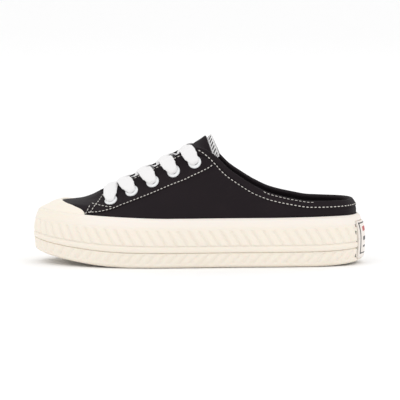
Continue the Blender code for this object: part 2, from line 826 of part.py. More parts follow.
def make_heel_patch(collection):
    """Rubber plate let into the back of the sole."""
    half = PATCH_WIDTH / 2 - 0.5
    shares = np.linspace(-half, half, 10) / OUTLINE.round
    rows = []
    for level in np.linspace(PATCH_LOW, PATCH_HIGH, 6):
        plan = OUTLINE.inset(shares, np.full(len(shares), side_inset(level) + PATCH_RECESS - 1.6 * GAP))
        bottom = sole_bottom(plan[:, 0])
        rows.append(np.column_stack([plan, bottom + level * (sole_top(plan[:, 0]) - bottom)]))
    patch = shell("heel_patch", collection, np.array(rows), PATCH_THICKNESS, outward=True)
    material(patch, *RUBBER)


def curve_through(points, samples):
    """Smooth curve through a few points, read at even steps."""
    points = [2 * points[0] - points[1], *points, 2 * points[-1] - points[-2]]
    spans = len(points) - 3
    found = []
    for place in np.linspace(0, spans - 1e-9, samples):
        k = int(place)
        part = place - k
        before, start, end, after = points[k : k + 4]
        found.append(
            0.5
            * (
                2 * start
                + (end - before) * part
                + (2 * before - 5 * start + 4 * end - after) * part**2
                + (3 * start - before - 3 * end + after) * part**3
            )
        )
    return np.array(found)


def eyelet_along(number):
    return np.linspace(EYELET_FIRST, EYELET_LAST, EYELET_COUNT)[number - 1]


def lace_over_edge(side, along, distance):
    """Middle of the lace lying on the eyestay, at a distance below the throat's edge, and its normal."""
    share = share_at(side, (along - 0.5) * LENGTH, distance)
    way = float(way_below_edge(np.array(share), distance))
    offset = OVERLAY_FIT + OVERLAY + LACE_CLEARANCE + LACE_THICKNESS / 2
    middle = on_upper(np.array(share), np.array(way), np.array(offset))
    normal = upper_normal(np.array(share), np.array(way))
    if distance == 0.0:
        middle = middle + np.array([0.0, 0.0, LACE_EDGE_LIFT])
        normal = normal + np.array([0.0, 0.0, 0.8])
        normal = normal / np.linalg.norm(normal)
    return middle, normal


def lace_on_tongue(along, across, lift=0.0):
    offset = LACE_CLEARANCE * 1.5 + LACE_THICKNESS / 2 + lift
    middle = tongue_point(np.array(along), np.array(across), offset)
    ahead = tongue_point(np.array(along + 0.01), np.array(across), offset) - middle
    beside = tongue_point(np.array(along), np.array(across + 0.05), offset) - middle
    normal = np.cross(ahead, beside)
    return middle, normal / np.linalg.norm(normal)


def lace_band(name, collection, stops):
    """Flat band through (middle, normal) stops."""
    middles = curve_through([stop[0] for stop in stops], 9)
    normals = curve_through([stop[1] for stop in stops], 9)
    ahead = np.gradient(middles, axis=0)
    rings = []
    for middle, normal, way in zip(middles, normals, ahead):
        way = way / np.linalg.norm(way)
        normal = normal - way * normal.dot(way)
        normal = normal / np.linalg.norm(normal)
        wide = np.cross(normal, way) * LACE_WIDTH / 2
        thick = normal * LACE_THICKNESS / 2
        corners = (-wide - thick, wide - thick, wide + thick, thick - wide)
        rings.append([middle + corner for corner in corners])
    return tube_loft(name, collection, rings)


def make_laces(collection, cutters):
    """The straight bar at the toe end and the crossings, each crossing's two bands joined."""
    first = eyelet_along(1)
    stop_short = eyelet_drop(first) - EYELET_FLANGE - LACE_END_FIT
    bar = [lace_over_edge(-1, first, stop_short), lace_over_edge(-1, first, 0.0), lace_on_tongue(first, 0.0)]
    bar += [lace_over_edge(1, first, 0.0), lace_over_edge(1, first, stop_short)]
    lace = lace_band("lace_bar_1", collection, bar)
    material(lace, *COTTON)
    for number in range(1, EYELET_COUNT):
        bands = []
        for side in (-1, 1):
            near = eyelet_along(number)
            far = eyelet_along(number + 1)
            stop_short = eyelet_drop(far) - EYELET_FLANGE - LACE_END_FIT
            lift = LACE_PASS * side
            stops = [
                lace_on_tongue(near + LACE_START, side * 0.5, lift),
                lace_on_tongue((near + far) / 2 + LACE_MIDDLE, 0.0, lift),
                lace_over_edge(-side, far - LACE_BEND, 0.0),
                lace_over_edge(-side, far, stop_short),
            ]
            word, home = ("cross", collection) if side < 0 else ("far", cutters)
            bands.append(lace_band(f"lace_{word}_{number}", home, stops))
        boolean(bands[0], bands[1], "UNION")
        material(bands[0], *COTTON)


def smooth_round_pieces(collection):
    """Shade everything smooth but its real edges."""
    for thing in collection.objects:
        thing.data.shade_smooth()
        thing.data.set_sharp_from_angle(angle=math.radians(38))


def centre_footprint(groups):
    """Move the whole shoe so that the middle of its footprint is the origin."""
    bpy.context.view_layer.update()
    graph = bpy.context.evaluated_depsgraph_get()
    corners = []
    for thing in groups[0].objects:
        made = thing.evaluated_get(graph)
        corners += [made.matrix_world @ Vector(corner) for corner in made.bound_box]
    low = [min(corner[k] for corner in corners) for k in (0, 1)]
    high = [max(corner[k] for corner in corners) for k in (0, 1)]
    middle = Vector(((low[0] + high[0]) / 2, (low[1] + high[1]) / 2, 0.0))
    for group in groups:
        for thing in group.objects:
            thing.location -= middle


def main():
    for thing in list(bpy.data.objects):
        bpy.data.objects.remove(thing, do_unlink=True)
    shoe = bpy.data.collections.new("low_backed_sneaker")
    cutters = bpy.data.collections.new("cutters")
    bpy.context.scene.collection.children.link(shoe)
    bpy.context.scene.collection.children.link(cutters)
    cutters.hide_render = True
    holes = make_hole_cutter(cutters)
    make_outsole(shoe, cutters)
    make_midsole(shoe, cutters)
    make_insole(shoe)
    make_upper(shoe, holes)
    make_toe_cap(shoe)
    make_eyestay("eyestay_lateral", -1, shoe, holes)
    make_eyestay("eyestay_medial", 1, shoe, holes)
    make_eyelets(shoe)
    make_binding(shoe)
    make_tongue(shoe)
    make_label(shoe)
    make_heel_patch(shoe)
    make_laces(shoe, cutters)
    smooth_round_pieces(shoe)
    centre_footprint((shoe, cutters))


main()
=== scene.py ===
"""Looks of a left low-backed canvas sneaker on a ribbed platform sole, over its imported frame."""

import math

import bpy
import numpy as np
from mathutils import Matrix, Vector


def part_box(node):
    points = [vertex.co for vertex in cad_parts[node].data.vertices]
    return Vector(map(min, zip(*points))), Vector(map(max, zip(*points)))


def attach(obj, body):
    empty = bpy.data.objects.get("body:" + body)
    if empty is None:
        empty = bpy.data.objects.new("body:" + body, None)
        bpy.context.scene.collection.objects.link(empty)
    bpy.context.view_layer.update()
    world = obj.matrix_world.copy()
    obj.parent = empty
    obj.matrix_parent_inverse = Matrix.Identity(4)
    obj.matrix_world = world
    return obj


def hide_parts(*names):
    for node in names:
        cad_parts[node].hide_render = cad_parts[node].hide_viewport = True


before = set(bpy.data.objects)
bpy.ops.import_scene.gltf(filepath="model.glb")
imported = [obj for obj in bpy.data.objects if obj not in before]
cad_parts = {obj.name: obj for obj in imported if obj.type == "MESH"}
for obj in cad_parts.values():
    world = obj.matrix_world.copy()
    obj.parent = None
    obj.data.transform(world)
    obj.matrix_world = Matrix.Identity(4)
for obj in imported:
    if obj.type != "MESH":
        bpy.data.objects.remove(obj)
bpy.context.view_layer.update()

bl_info = {
    "name": "Low-backed canvas sneaker",
    "version": (1, 0, 0),
    "blender": (4, 5, 0),
    "location": "View3D > Sidebar > Sneaker",
    "description": "Builds the finish of a platform canvas sneaker",
    "category": "Object",
}

MM = 0.001
SIDES = ((-1, "lateral"), (1, "medial"))

# Overall sizes, in millimetres, as the solids have them
LENGTH = 270.0
BALL_WIDTH = 101.0
SOLE_HEIGHT = 39.5
INSTEP_WALL = 56.0
HEEL_WALL = 12.5
TOE_SPRING = 10.0
TOE_SPRING_RUN = 80.0
HEEL_RISE = 3.0
HEEL_RISE_RUN = 40.0
TOE_RIM_RISE = 4.5
TOE_RIM_RUN = 110.0
RIM_INSET = 4.2
RIM_WIDTH = 2.5
UPPER_INSET = 7.0
LOWER_TUCK = 1.4
LAYER_SPLIT = 0.314
BEAD_TOP = 0.45
BED_HEIGHT = 18.0
HEEL_LIFT = 5.0
UPPER_WALL = 2.0
INSOLE_THICKNESS = 4.5
INSOLE_INSET = 9.6
SIDE_BULGE = 1.6
PATCH_WIDTH = 38.0
PATCH_LOW = 0.08
PATCH_HIGH = 0.86
PATCH_RECESS = 1.0
EYELET_COUNT = 5
EYELET_FIRST = 0.237
EYELET_LAST = 0.488
EYELET_DROPS = (17.6, 14.1, 13.0, 12.7, 11.6)

# Plan of the sole: shares of the length from the toe, and of the ball width from the axis
SOLE_PLAN = (
    # along, across
    (1.000, 0.000),
    (0.968, -0.235),
    (0.880, -0.350),
    (0.760, -0.395),
    (0.610, -0.425),
    (0.460, -0.470),
    (0.330, -0.490),
    (0.205, -0.440),
    (0.100, -0.320),
    (0.030, -0.160),
    (0.000, 0.065),
    (0.025, 0.270),
    (0.095, 0.425),
    (0.200, 0.500),
    (0.310, 0.500),
    (0.460, 0.440),
    (0.610, 0.395),
    (0.760, 0.380),
    (0.880, 0.345),
    (0.968, 0.235),
)

# Sections of the upper: start at the sole, end at the throat or collar, how far out and how high
UPPER_SECTIONS = (
    # base, edge, out, rise
    (0.026, 0.196, 0.360, 0.126),
    (0.060, 0.198, 0.360, 0.129),
    (0.110, 0.204, 0.345, 0.146),
    (0.160, 0.218, 0.320, 0.185),
    (0.205, 0.240, 0.315, 0.242),
    (0.250, 0.268, 0.330, 0.326),
    (0.298, 0.303, 0.355, 0.436),
    (0.367, 0.367, 0.400, 0.638),
    (0.420, 0.420, 0.455, 0.822),
    (0.455, 0.455, 0.500, 0.928),
    (0.488, 0.488, 0.545, 1.000),
    (0.511, 0.511, 0.600, 0.978),
    (0.533, 0.533, 0.640, 0.917),
    (0.552, 0.552, 0.675, 0.837),
    (0.589, 0.589, 0.730, 0.611),
    (0.628, 0.628, 0.780, 0.441),
    (0.665, 0.665, 0.820, 0.299),
    (0.715, 0.715, 0.860, 0.156),
    (0.778, 0.777, 0.895, 0.062),
    (0.837, 0.834, 0.915, 0.006),
    (0.900, 0.893, 0.925, 0.000),
    (0.974, 0.961, 0.930, 0.000),
)

TOE_PROFILE = (
    # way, height
    (0.00, 0.00),
    (0.10, 0.15),
    (0.20, 0.33),
    (0.30, 0.44),
    (0.45, 0.50),
    (0.70, 0.63),
    (0.85, 0.79),
    (1.00, 1.00),
)

CAP_EDGE = (
    # arc, way
    (0.00, 0.360),
    (0.22, 0.338),
    (0.64, 0.247),
    (0.77, 0.201),
    (0.91, 0.144),
    (0.98, 0.070),
    (1.00, 0.020),
)
CAP_SIDE_ARC = 64.5
CAP_THICKNESS = 1.5
CAP_SOFT = 1.6

EYESTAY_EDGE = (
    # base, way
    (0.168, 0.046),
    (0.191, 0.080),
    (0.217, 0.148),
    (0.250, 0.263),
    (0.288, 0.369),
    (0.351, 0.472),
    (0.411, 0.535),
    (0.456, 0.565),
    (0.488, 0.609),
    (0.517, 0.694),
    (0.533, 0.767),
    (0.548, 0.861),
)

TONGUE_SECTIONS = (
    # along, crest, half, sweep
    (0.182, 0.026, 0.120, 0.000),
    (0.215, 0.118, 0.170, 0.000),
    (0.260, 0.251, 0.195, 0.000),
    (0.320, 0.449, 0.205, 0.003),
    (0.380, 0.639, 0.210, 0.007),
    (0.440, 0.804, 0.215, 0.014),
    (0.480, 1.026, 0.213, 0.022),
    (0.518, 1.213, 0.200, 0.034),
    (0.532, 1.299, 0.192, 0.038),
    (0.550, 1.379, 0.185, 0.040),
)
TONGUE_END = 0.518
TONGUE_LEVEL = 0.72
TONGUE_FALL = 0.08
TONGUE_ARCH = 0.358
TONGUE_ARCH_START = 0.475
LABEL_START = 0.492
LABEL_END = 0.529
LABEL_HALF = 0.88

# Soft creases of the canvas: side (-1 lateral, 1 medial), share of the length, way up the side,
# run and width in millimetres, depth in millimetres (a ridge where it is negative)
CREASES = (
    # side, along, way, run, width, depth
    (-1, 0.235, 0.45, 9.0, 3.2, 0.5),
    (1, 0.230, 0.45, 9.0, 3.2, 0.5),
    (-1, 0.262, 0.30, 11.0, 3.5, -0.35),
    (1, 0.258, 0.30, 11.0, 3.5, -0.35),
    (-1, 0.560, 0.45, 13.0, 4.5, 0.7),
    (1, 0.560, 0.45, 13.0, 4.5, 0.7),
    (-1, 0.600, 0.55, 12.0, 5.0, -0.5),
    (1, 0.605, 0.55, 12.0, 5.0, -0.5),
    (-1, 0.480, 0.25, 16.0, 6.0, 0.45),
    (1, 0.470, 0.25, 16.0, 6.0, 0.45),
    (-1, 0.700, 0.50, 18.0, 3.5, 0.35),
    (1, 0.710, 0.50, 18.0, 3.5, 0.35),
)


def paired(first, second):
    return np.broadcast_arrays(np.asarray(first, float), np.asarray(second, float))


def x_at(along):
    """Place along the shoe, from a share of its length."""
    return (along - 0.5) * LENGTH


def smooth(table, column, where):
    """Read a table between its rows with a cubic that never overshoots."""
    rows = np.array(table)
    xs = rows[:, 0]
    ys = rows[:, column]
    steps = np.diff(xs)
    slopes = np.diff(ys) / steps
    both = slopes[1:] * slopes[:-1]
    inner = np.where(both > 0, 2 * both / (slopes[1:] + slopes[:-1] + 1e-12), 0)
    tangents = np.concatenate([slopes[:1], inner, slopes[-1:]])
    where = np.clip(np.asarray(where, float), xs[0], xs[-1])
    index = np.clip(np.searchsorted(xs, where) - 1, 0, len(steps) - 1)
    step = steps[index]
    part = (where - xs[index]) / step
    start = (1 + 2 * part) * (1 - part) ** 2 * ys[index] + part * (1 - part) ** 2 * step * tangents[index]
    end = part**2 * (3 - 2 * part) * ys[index + 1] + part**2 * (part - 1) * step * tangents[index + 1]
    return start + end


def ease(value, low, high):
    part = np.clip((np.asarray(value, float) - low) / (high - low), 0, 1)
    return part * part * (3 - 2 * part)


def window(value, edges):
    """1 between two soft edges: start and end of the rise, start and end of the fall."""
    return ease(value, *edges[:2]) * (1 - ease(value, *edges[2:]))


def bell(value, width):
    return np.exp(-((np.asarray(value, float) / width) ** 2))


def unit(vectors):
    return vectors / np.linalg.norm(vectors, axis=-1, keepdims=True)


def between_points(near, part):
    """Point of a smooth curve between the middle two of four points."""
    before, start, end, after = near
    bend = (2 * before - 5 * start + 4 * end - after) * part**2
    twist = (3 * start - before - 3 * end + after) * part**3
    return 0.5 * (2 * start + (end - before) * part + bend + twist)


def curve_through(points, samples):
    """Smooth curve through a few points, read at even steps."""
    points = [np.asarray(point, float) for point in points]
    points = [2 * points[0] - points[1], *points, 2 * points[-1] - points[-2]]
    spans = len(points) - 3
    found = []
    for place in np.linspace(0, spans - 1e-9, samples):
        k = int(place)
        part = place - k
        found.append(between_points(points[k : k + 4], part))
    return np.array(found)


class Outline:
    """The sole's closed plan curve, read by share of its way round from the heel's middle."""

    def __init__(self, each=80):
        rows = np.array(SOLE_PLAN)
        corners = np.column_stack([x_at(rows[:, 0]), rows[:, 1] * BALL_WIDTH])
        count = len(corners)
        points = []
        for index in range(count):
            near = [corners[(index + k - 1) % count] for k in range(4)]
            points += [between_points(near, part) for part in np.arange(0, 1, 1 / each)]
        self.points = np.array(points + points[:1])
        ways = np.linalg.norm(np.diff(self.points, axis=0), axis=1)
        self.round = float(ways.sum())
        self.shares = np.concatenate([[0], np.cumsum(ways)]) / self.round
        tip = int(np.argmin(self.points[:, 0]))
        self.toe = float(self.shares[tip])
        self.lateral = self.points[: tip + 1][::-1]
        self.medial = self.points[tip:]

    def at(self, share):
        share = np.mod(share, 1.0)
        return np.stack([np.interp(share, self.shares, self.points[:, k]) for k in (0, 1)], axis=-1)

    def normal(self, share):
        ahead = self.at(np.asarray(share) + 0.004) - self.at(np.asarray(share) - 0.004)
        return unit(np.stack([-ahead[..., 1], ahead[..., 0]], axis=-1))

    def inset(self, share, depth):
        return self.at(share) - self.normal(share) * np.asarray(depth)[..., None]

    def sides(self, x):
        low = np.interp(x, self.lateral[:, 0], self.lateral[:, 1])
        high = np.interp(x, self.medial[:, 0], self.medial[:, 1])
        return low, high

    def centre(self, x):
        low, high = self.sides(x)
        return (low + high) / 2

    def half(self, x):
        low, high = self.sides(x)
        return (high - low) / 2


OUTLINE = Outline()


def footprint_shift():
    """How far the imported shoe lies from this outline, read from the insole."""
    low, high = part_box("insole")
    own = OUTLINE.inset(np.linspace(0, 1, 400), np.full(400, INSOLE_INSET))
    packed = [(low[k] + high[k]) / 2 / MM for k in (0, 1)]
    return np.array([packed[k] - (own[:, k].min() + own[:, k].max()) / 2 for k in (0, 1)] + [0.0])


SHIFT = footprint_shift()


def sole_bottom(x):
    toe = np.clip((TOE_SPRING_RUN - (x + LENGTH / 2)) / TOE_SPRING_RUN, 0, 1)
    heel = np.clip((HEEL_RISE_RUN - (LENGTH / 2 - x)) / HEEL_RISE_RUN, 0, 1)
    return TOE_SPRING * toe**1.8 + HEEL_RISE * heel**2


def sole_top(x):
    toe = np.clip((TOE_RIM_RUN - (x + LENGTH / 2)) / TOE_RIM_RUN, 0, 1)
    heel = ease(x, 0.2 * LENGTH, 0.45 * LENGTH)
    return SOLE_HEIGHT + TOE_RIM_RISE * toe**1.3 + 0.02 * SOLE_HEIGHT * heel


def bed_floor(x):
    return sole_bottom(x) + BED_HEIGHT + HEEL_LIFT * ease(x, -0.1 * LENGTH, 0.25 * LENGTH)


def side_inset(level):
    upper = RIM_INSET * np.clip((level - 0.5) / 0.5, 0, 1) ** 2
    lower = LOWER_TUCK * np.clip((0.5 - level) / 0.5, 0, 1) ** 2
    return upper + lower


def behind_patch(share):
    way = np.abs(np.mod(np.asarray(share) + 0.5, 1.0) - 0.5) * OUTLINE.round
    return 1 - ease(way, PATCH_WIDTH / 2 + 0.6, PATCH_WIDTH / 2 + 2.2)


def along_at(share):
    """Share of the length where the canvas meets the sole, at a share round the outline."""
    return OUTLINE.inset(share, np.full(np.shape(share), UPPER_INSET))[..., 0] / LENGTH + 0.5


def upper_surface(share, way):
    """Outer face of the canvas: share round the outline, way from sole rim (0) to edge (1)."""
    share, way = paired(share, way)
    base = OUTLINE.inset(share, np.full(share.shape, UPPER_INSET))
    along = base[..., 0] / LENGTH + 0.5
    edge_x = x_at(smooth(UPPER_SECTIONS, 1, along))
    out = smooth(UPPER_SECTIONS, 2, along)
    edge_y = OUTLINE.centre(edge_x) + (base[..., 1] - OUTLINE.centre(base[..., 0])) * out
    rise = smooth(UPPER_SECTIONS, 3, along)
    edge_z = SOLE_HEIGHT + HEEL_WALL + rise * (INSTEP_WALL - HEEL_WALL)
    rim = sole_top(base[..., 0])
    climb = np.clip(way, 0, 1)
    toe = 1 - ease(along, 0.08, 0.26)
    height = climb * (1 - toe) + smooth(TOE_PROFILE, 1, climb) * toe
    bulge = SIDE_BULGE * np.sin(np.pi * climb) * (1 - toe)
    normal = OUTLINE.normal(share)
    x = base[..., 0] + (edge_x - base[..., 0]) * climb + normal[..., 0] * bulge
    y = base[..., 1] + (edge_y - base[..., 1]) * climb + normal[..., 1] * bulge
    skirt = np.clip(way, -1, 0) * (rim - bed_floor(base[..., 0]) - 0.3)
    return np.stack([x, y, rim + (edge_z - rim) * height + skirt], axis=-1)


def upper_normal(share, way):
    step = 0.002
    ahead = upper_surface(np.asarray(share) + step, way) - upper_surface(np.asarray(share) - step, way)
    high = np.clip(np.asarray(way) + 0.02, None, 1.0)
    up = upper_surface(share, high) - upper_surface(share, high - 0.04)
    return unit(np.cross(up, ahead))


def creased(share, way):
    """How far the canvas is pushed in or out by its soft creases."""
    share, way = paired(share, way)
    along = along_at(share)
    total = np.zeros(share.shape)
    for side, middle, height, run, width, depth in CREASES:
        own = share > OUTLINE.toe if side > 0 else share < OUTLINE.toe
        x = (along - middle) * LENGTH
        z = (way - height) * 40.0
        total -= own * depth * bell(x * 0.8 + z * 0.6, width) * bell(z * 0.8 - x * 0.6, run)
    puckers = 0.12 * np.sin(share * OUTLINE.round / 2.7) * bell(way - 0.97, 0.06)
    return (total + puckers) * ease(way, 0.02, 0.15)


def on_upper(share, way, offset):
    share, way = paired(share, way)
    depth = np.broadcast_to(np.asarray(offset, float), share.shape) + creased(share, way)
    return upper_surface(share, way) + upper_normal(share, way) * depth[..., None]


def column_length(share):
    return np.linalg.norm(upper_surface(share, 1.0) - upper_surface(share, 0.0), axis=-1)


def way_below_edge(share, distance):
    return 1 - distance / column_length(share)


def share_where(side, x, ends, count, ways):
    """Share of the column on one side that passes x; its way up is a function of the share."""
    heel, toe = ends
    shares = np.linspace(heel, OUTLINE.toe - toe, count)
    if side > 0:
        shares = np.linspace(OUTLINE.toe + toe, 1 - heel, count)
    xs = upper_surface(shares, ways(shares))[:, 0]
    order = np.argsort(xs)
    return float(np.interp(x, xs[order], shares[order]))


def share_at(side, x, distance):
    """Share of the column that passes x at a distance below the edge."""
    return share_where(side, x, (0.02, 0.02), 600, lambda shares: way_below_edge(shares, distance))


def share_at_way(side, x, way):
    """Share of the column that passes x at a way up."""
    return share_where(side, x, (0.01, 0.005), 800, lambda shares: way)


def throat_half(along):
    share = np.interp(along, np.array(UPPER_SECTIONS)[:, 1], np.array(UPPER_SECTIONS)[:, 2])
    return share * (OUTLINE.half(x_at(along)) - UPPER_INSET)


def tongue_point(along, across):
    """Tongue's outer face: share of the length, and -1 to 1 across it."""
    x = x_at(along)
    level = SOLE_HEIGHT + HEEL_WALL + smooth(TONGUE_SECTIONS, 1, along) * (INSTEP_WALL - HEEL_WALL)
    half = smooth(TONGUE_SECTIONS, 2, along) * BALL_WIDTH
    sweep = smooth(TONGUE_SECTIONS, 3, along) * LENGTH
    gap_half = throat_half(along)
    slope = (level - sole_top(x)) / (OUTLINE.half(x) - UPPER_INSET - gap_half)
    y = across * half
    past = np.clip(np.abs(y) - TONGUE_LEVEL * gap_half, 0, None)
    arch = TONGUE_ARCH * INSTEP_WALL * ease(along, TONGUE_ARCH_START, TONGUE_END)
    drop = TONGUE_FALL * np.abs(y) + slope * past**1.25 / 2 + arch * np.abs(across) ** 1.6
    z = level - drop
    return np.stack([x + sweep * np.abs(across) ** 1.5, OUTLINE.centre(x) + y, z], axis=-1)


def tongue_normal(along, across):
    ahead = tongue_point(along + 0.004, across) - tongue_point(along - 0.004, across)
    beside = tongue_point(along, across + 0.03) - tongue_point(along, across - 0.03)
    return unit(np.cross(ahead, beside))


def on_tongue(along, across, offset):
    along, across = paired(along, across)
    depth = np.broadcast_to(np.asarray(offset, float), along.shape)
    return tongue_point(along, across) + tongue_normal(along, across) * depth[..., None]


def piece_from(name, points, faces, cloth=None):
    """A mesh object from points in millimetres, with an optional cloth map in centimetres."""
    mesh = bpy.data.meshes.new(name)
    placed = (np.asarray(points, float).reshape(-1, 3) + SHIFT) * MM
    mesh.from_pydata(placed.tolist(), [], faces)
    if cloth is not None:
        layer = mesh.uv_layers.new(name="cloth")
        corners = np.array([loop.vertex_index for loop in mesh.loops])
        layer.data.foreach_set("uv", (np.asarray(cloth, float).reshape(-1, 2)[corners] / 10).ravel())
    mesh.validate()
    mesh.shade_smooth()
    made = bpy.data.objects.new(name, mesh)
    bpy.context.scene.collection.objects.link(made)
    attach(made, "root")
    return made


def grid_faces(rows, columns, wrap_rows, wrap_columns, start=0):
    faces = []
    for row in range(rows if wrap_rows else rows - 1):
        below = row * columns
        above = ((row + 1) % rows) * columns
        for k in range(columns if wrap_columns else columns - 1):
            after = (k + 1) % columns
            faces.append((start + below + k, start + below + after, start + above + after, start + above + k))
    return faces


def cloth_map(grid):
    """Metric map of a grid: way along each row and way up each column, in millimetres."""
    along = np.linalg.norm(np.diff(grid, axis=1, prepend=grid[:, :1]), axis=-1).cumsum(axis=1)
    up = np.linalg.norm(np.diff(grid, axis=0, prepend=grid[:1]), axis=-1).cumsum(axis=0)
    across = np.broadcast_to(along[len(grid) // 2], up.shape)
    height = np.broadcast_to(up.mean(axis=1)[:, None], up.shape)
    return np.stack([across, height], axis=-1)


def sheet_piece(name, grid, wrap_columns=False, wrap_rows=False, caps=False):
    """A piece from a grid of points; its rows may close into rings and its ends may be capped."""
    rows, columns = grid.shape[:2]
    faces = grid_faces(rows, columns, wrap_rows, wrap_columns)
    if caps:
        faces.append(tuple(row * columns for row in range(rows)))
        faces.append(tuple(row * columns + columns - 1 for row in reversed(range(rows))))
    return piece_from(name, grid, faces, cloth_map(grid))


def thicken(piece, thickness, offset):
    """Turn an open sheet into a thin solid, in millimetres."""
    backed = piece.modifiers.new("back", "SOLIDIFY")
    backed.thickness = thickness * MM
    backed.offset = offset


def round_section(thickness, count=5):
    """Offsets and overhangs that round a shell's edge from its outer to its inner face."""
    angles = np.linspace(math.pi / 2, -math.pi / 2, count + 2)[1:-1]
    half = thickness / 2
    return [(half * math.sin(angle) - half, half * math.cos(angle)) for angle in angles]


class Wire:
    """A shader socket that can be used in an expression."""

    def __init__(self, finish, socket):
        self.finish = finish
        self.socket = socket

    def maths(self, operation, *others):
        return self.finish.node("ShaderNodeMath", {"operation": operation}, self, *others)

    def __add__(self, other):
        return self.maths("ADD", other)

    __radd__ = __add__

    def __mul__(self, other):
        return self.maths("MULTIPLY", other)

    __rmul__ = __mul__

    def __sub__(self, other):
        return self.maths("SUBTRACT", other)

    def __rsub__(self, other):
        return self.finish.node("ShaderNodeMath", {"operation": "SUBTRACT"}, other, self)

    def sine(self):
        return self.maths("SINE")

    def size(self):
        return self.maths("ABSOLUTE")

    def between(self, low, high):
        """0 below low, 1 above high, with a smooth step between."""
        settings = {"interpolation_type": "SMOOTHSTEP"}
        return self.finish.node("ShaderNodeMapRange", settings, self, low, high, 0.0, 1.0)


class Finish:
    """A procedural material under construction."""

    def __init__(self, name):
        self.material = bpy.data.materials.new(name)
        self.material.use_nodes = True
        self.tree = self.material.node_tree
        self.shader = self.tree.nodes["Principled BSDF"]

    def node(self, kind, settings=None, *values, output=0, **named):
        made = self.tree.nodes.new(kind)
        for key, value in (settings or {}).items():
            setattr(made, key, value)
        for index, value in enumerate(values):
            self.put(made.inputs[index], value)
        for key, value in named.items():
            self.put(made.inputs[key.replace("_", " ")], value)
        return Wire(self, made.outputs[output])

    def put(self, socket, value):
        if isinstance(value, Wire):
            self.tree.links.new(value.socket, socket)
        elif value is not None:
            socket.default_value = value

    def set(self, **sockets):
        for key, value in sockets.items():
            self.put(self.shader.inputs[key.replace("_", " ")], value)

    def place(self):
        """Object coordinates in metres."""
        return self.node("ShaderNodeTexCoord", output=3)

    def parts(self, vector):
        split = self.tree.nodes.new("ShaderNodeSeparateXYZ")
        self.put(split.inputs[0], vector)
        return [Wire(self, output) for output in split.outputs]

    def noise(self, scale, detail=3.0, rough=0.55):
        place = self.place()
        return self.node("ShaderNodeTexNoise", {}, Vector=place, Scale=scale, Detail=detail, Roughness=rough)

    def cloth(self):
        """The cloth map's two ways, in centimetres."""
        return self.parts(self.node("ShaderNodeUVMap", {"uv_map": "cloth"}))[:2]

    def mix(self, factor, first, second):
        made = self.tree.nodes.new("ShaderNodeMix")
        made.data_type = "RGBA"
        self.put(made.inputs[0], factor)
        self.put(made.inputs[6], first)
        self.put(made.inputs[7], second)
        return Wire(self, made.outputs[2])

    def bump(self, height, strength, distance):
        return self.node("ShaderNodeBump", {}, Height=height, Strength=strength, Distance=distance)

    def weave(self, pitch):
        """Plain weave read from the cloth map: threads over and under, pitch in millimetres."""
        u, v = self.cloth()
        turn = 2 * math.pi * 10 / pitch
        wander = self.noise(900.0, 2.0) * 0.8
        warp = (u * turn + wander).sine()
        weft = (v * turn + wander).sine()
        return warp * weft * 0.5 + 0.5


# Colours of wear and print
LINT = (0.2, 0.19, 0.19, 1.0)
DIRT = (0.55, 0.47, 0.36, 1.0)
SCUFF = (0.6, 0.55, 0.47, 1.0)
BARE_METAL = (0.62, 0.61, 0.58, 1.0)
SEAM_INK = (0.03, 0.03, 0.03, 1.0)
LABEL_INK = (0.015, 0.015, 0.015, 1.0)
PLATE_RED = (0.45, 0.02, 0.02, 1.0)
PLATE_INK = (0.02, 0.02, 0.02, 1.0)

# Dark seam beside the heel plate, in metres: its place from the middle and the pitch of its ticks
PLATE_SEAM = 0.0209
TICK_PITCH = 0.0062


def tone(colour, factor):
    return tuple(min(1.0, value * factor) for value in colour[:3]) + (1.0,)


def canvas_finish(settings):
    finish = Finish("black_canvas")
    threads = finish.weave(settings.weave_pitch / MM)
    slubs = finish.noise(420.0, 4.0)
    fade = finish.noise(28.0, 2.0)
    lint = finish.noise(2600.0, 2.0).between(0.66, 0.8)
    base = finish.mix(threads * 0.6 + slubs * 0.4, tone(settings.canvas, 0.6), tone(settings.canvas, 1.75))
    faded = tone((*settings.canvas[:2], settings.canvas[2] * 0.95), 1.9)
    worn = finish.mix(fade.between(0.35, 0.8) * 0.35, base, faded)
    dusted = finish.mix(lint * 0.12, worn, LINT)
    height = threads * 0.7 + slubs * 0.5
    finish.set(Base_Color=dusted, Roughness=0.88 + (slubs - 0.5) * 0.12)
    finish.set(Normal=finish.bump(height, 0.35, 0.00025))
    finish.set(Sheen_Weight=0.04, Sheen_Roughness=0.5, Specular_IOR_Level=0.2)
    return finish.material


def rubber_finish(settings):
    """Cream moulded rubber: a paler band under the top edge as painted highlight, faint mottling and dirt
    towards the bottom.
    """
    finish = Finish("cream_rubber")
    x, y, z = finish.parts(finish.place())
    seam = (1 - (y.size() - PLATE_SEAM).size().between(0.0005, 0.0007)) * x.between(0.110, 0.112)
    ticks = seam * (z * (2 * math.pi / TICK_PITCH)).sine().between(0.0, 0.2) * z.between(0.005, 0.006)
    ticks = ticks * (1 - z.between(0.033, 0.034))
    cloud = finish.noise(22.0, 3.0)
    speck = finish.noise(700.0, 3.0)
    grime = finish.noise(75.0, 5.0, 0.65)
    low = 1 - z.between(0.0, 0.009)
    # Painted highlight: the band under the top edge, where the sloping shoulder catches the light from above,
    # is mixed towards a paler colour; it fades out towards the toe.
    band = z.between(0.030, 0.037) * x.between(-0.118, -0.080)
    body = finish.mix(cloud, tone(settings.rubber, 0.965), tone(settings.rubber, 1.02))
    banded = finish.mix(band * 0.75, body, tone(settings.plate_cream_and_band_highlight, 1.0))
    dirty = finish.mix(low * grime.between(0.45, 0.75) * 0.18, banded, DIRT)
    marked = finish.mix(ticks * 0.85, dirty, SEAM_INK)
    height = speck * 0.5 + grime * 0.5
    finish.set(Base_Color=marked, Roughness=0.5 + (speck - 0.5) * 0.15)
    finish.set(Normal=finish.bump(height, 0.12, 0.0003))
    finish.set(Subsurface_Weight=0.06, Subsurface_Scale=0.004, Coat_Roughness=0.4, Specular_IOR_Level=0.4)
    return finish.material


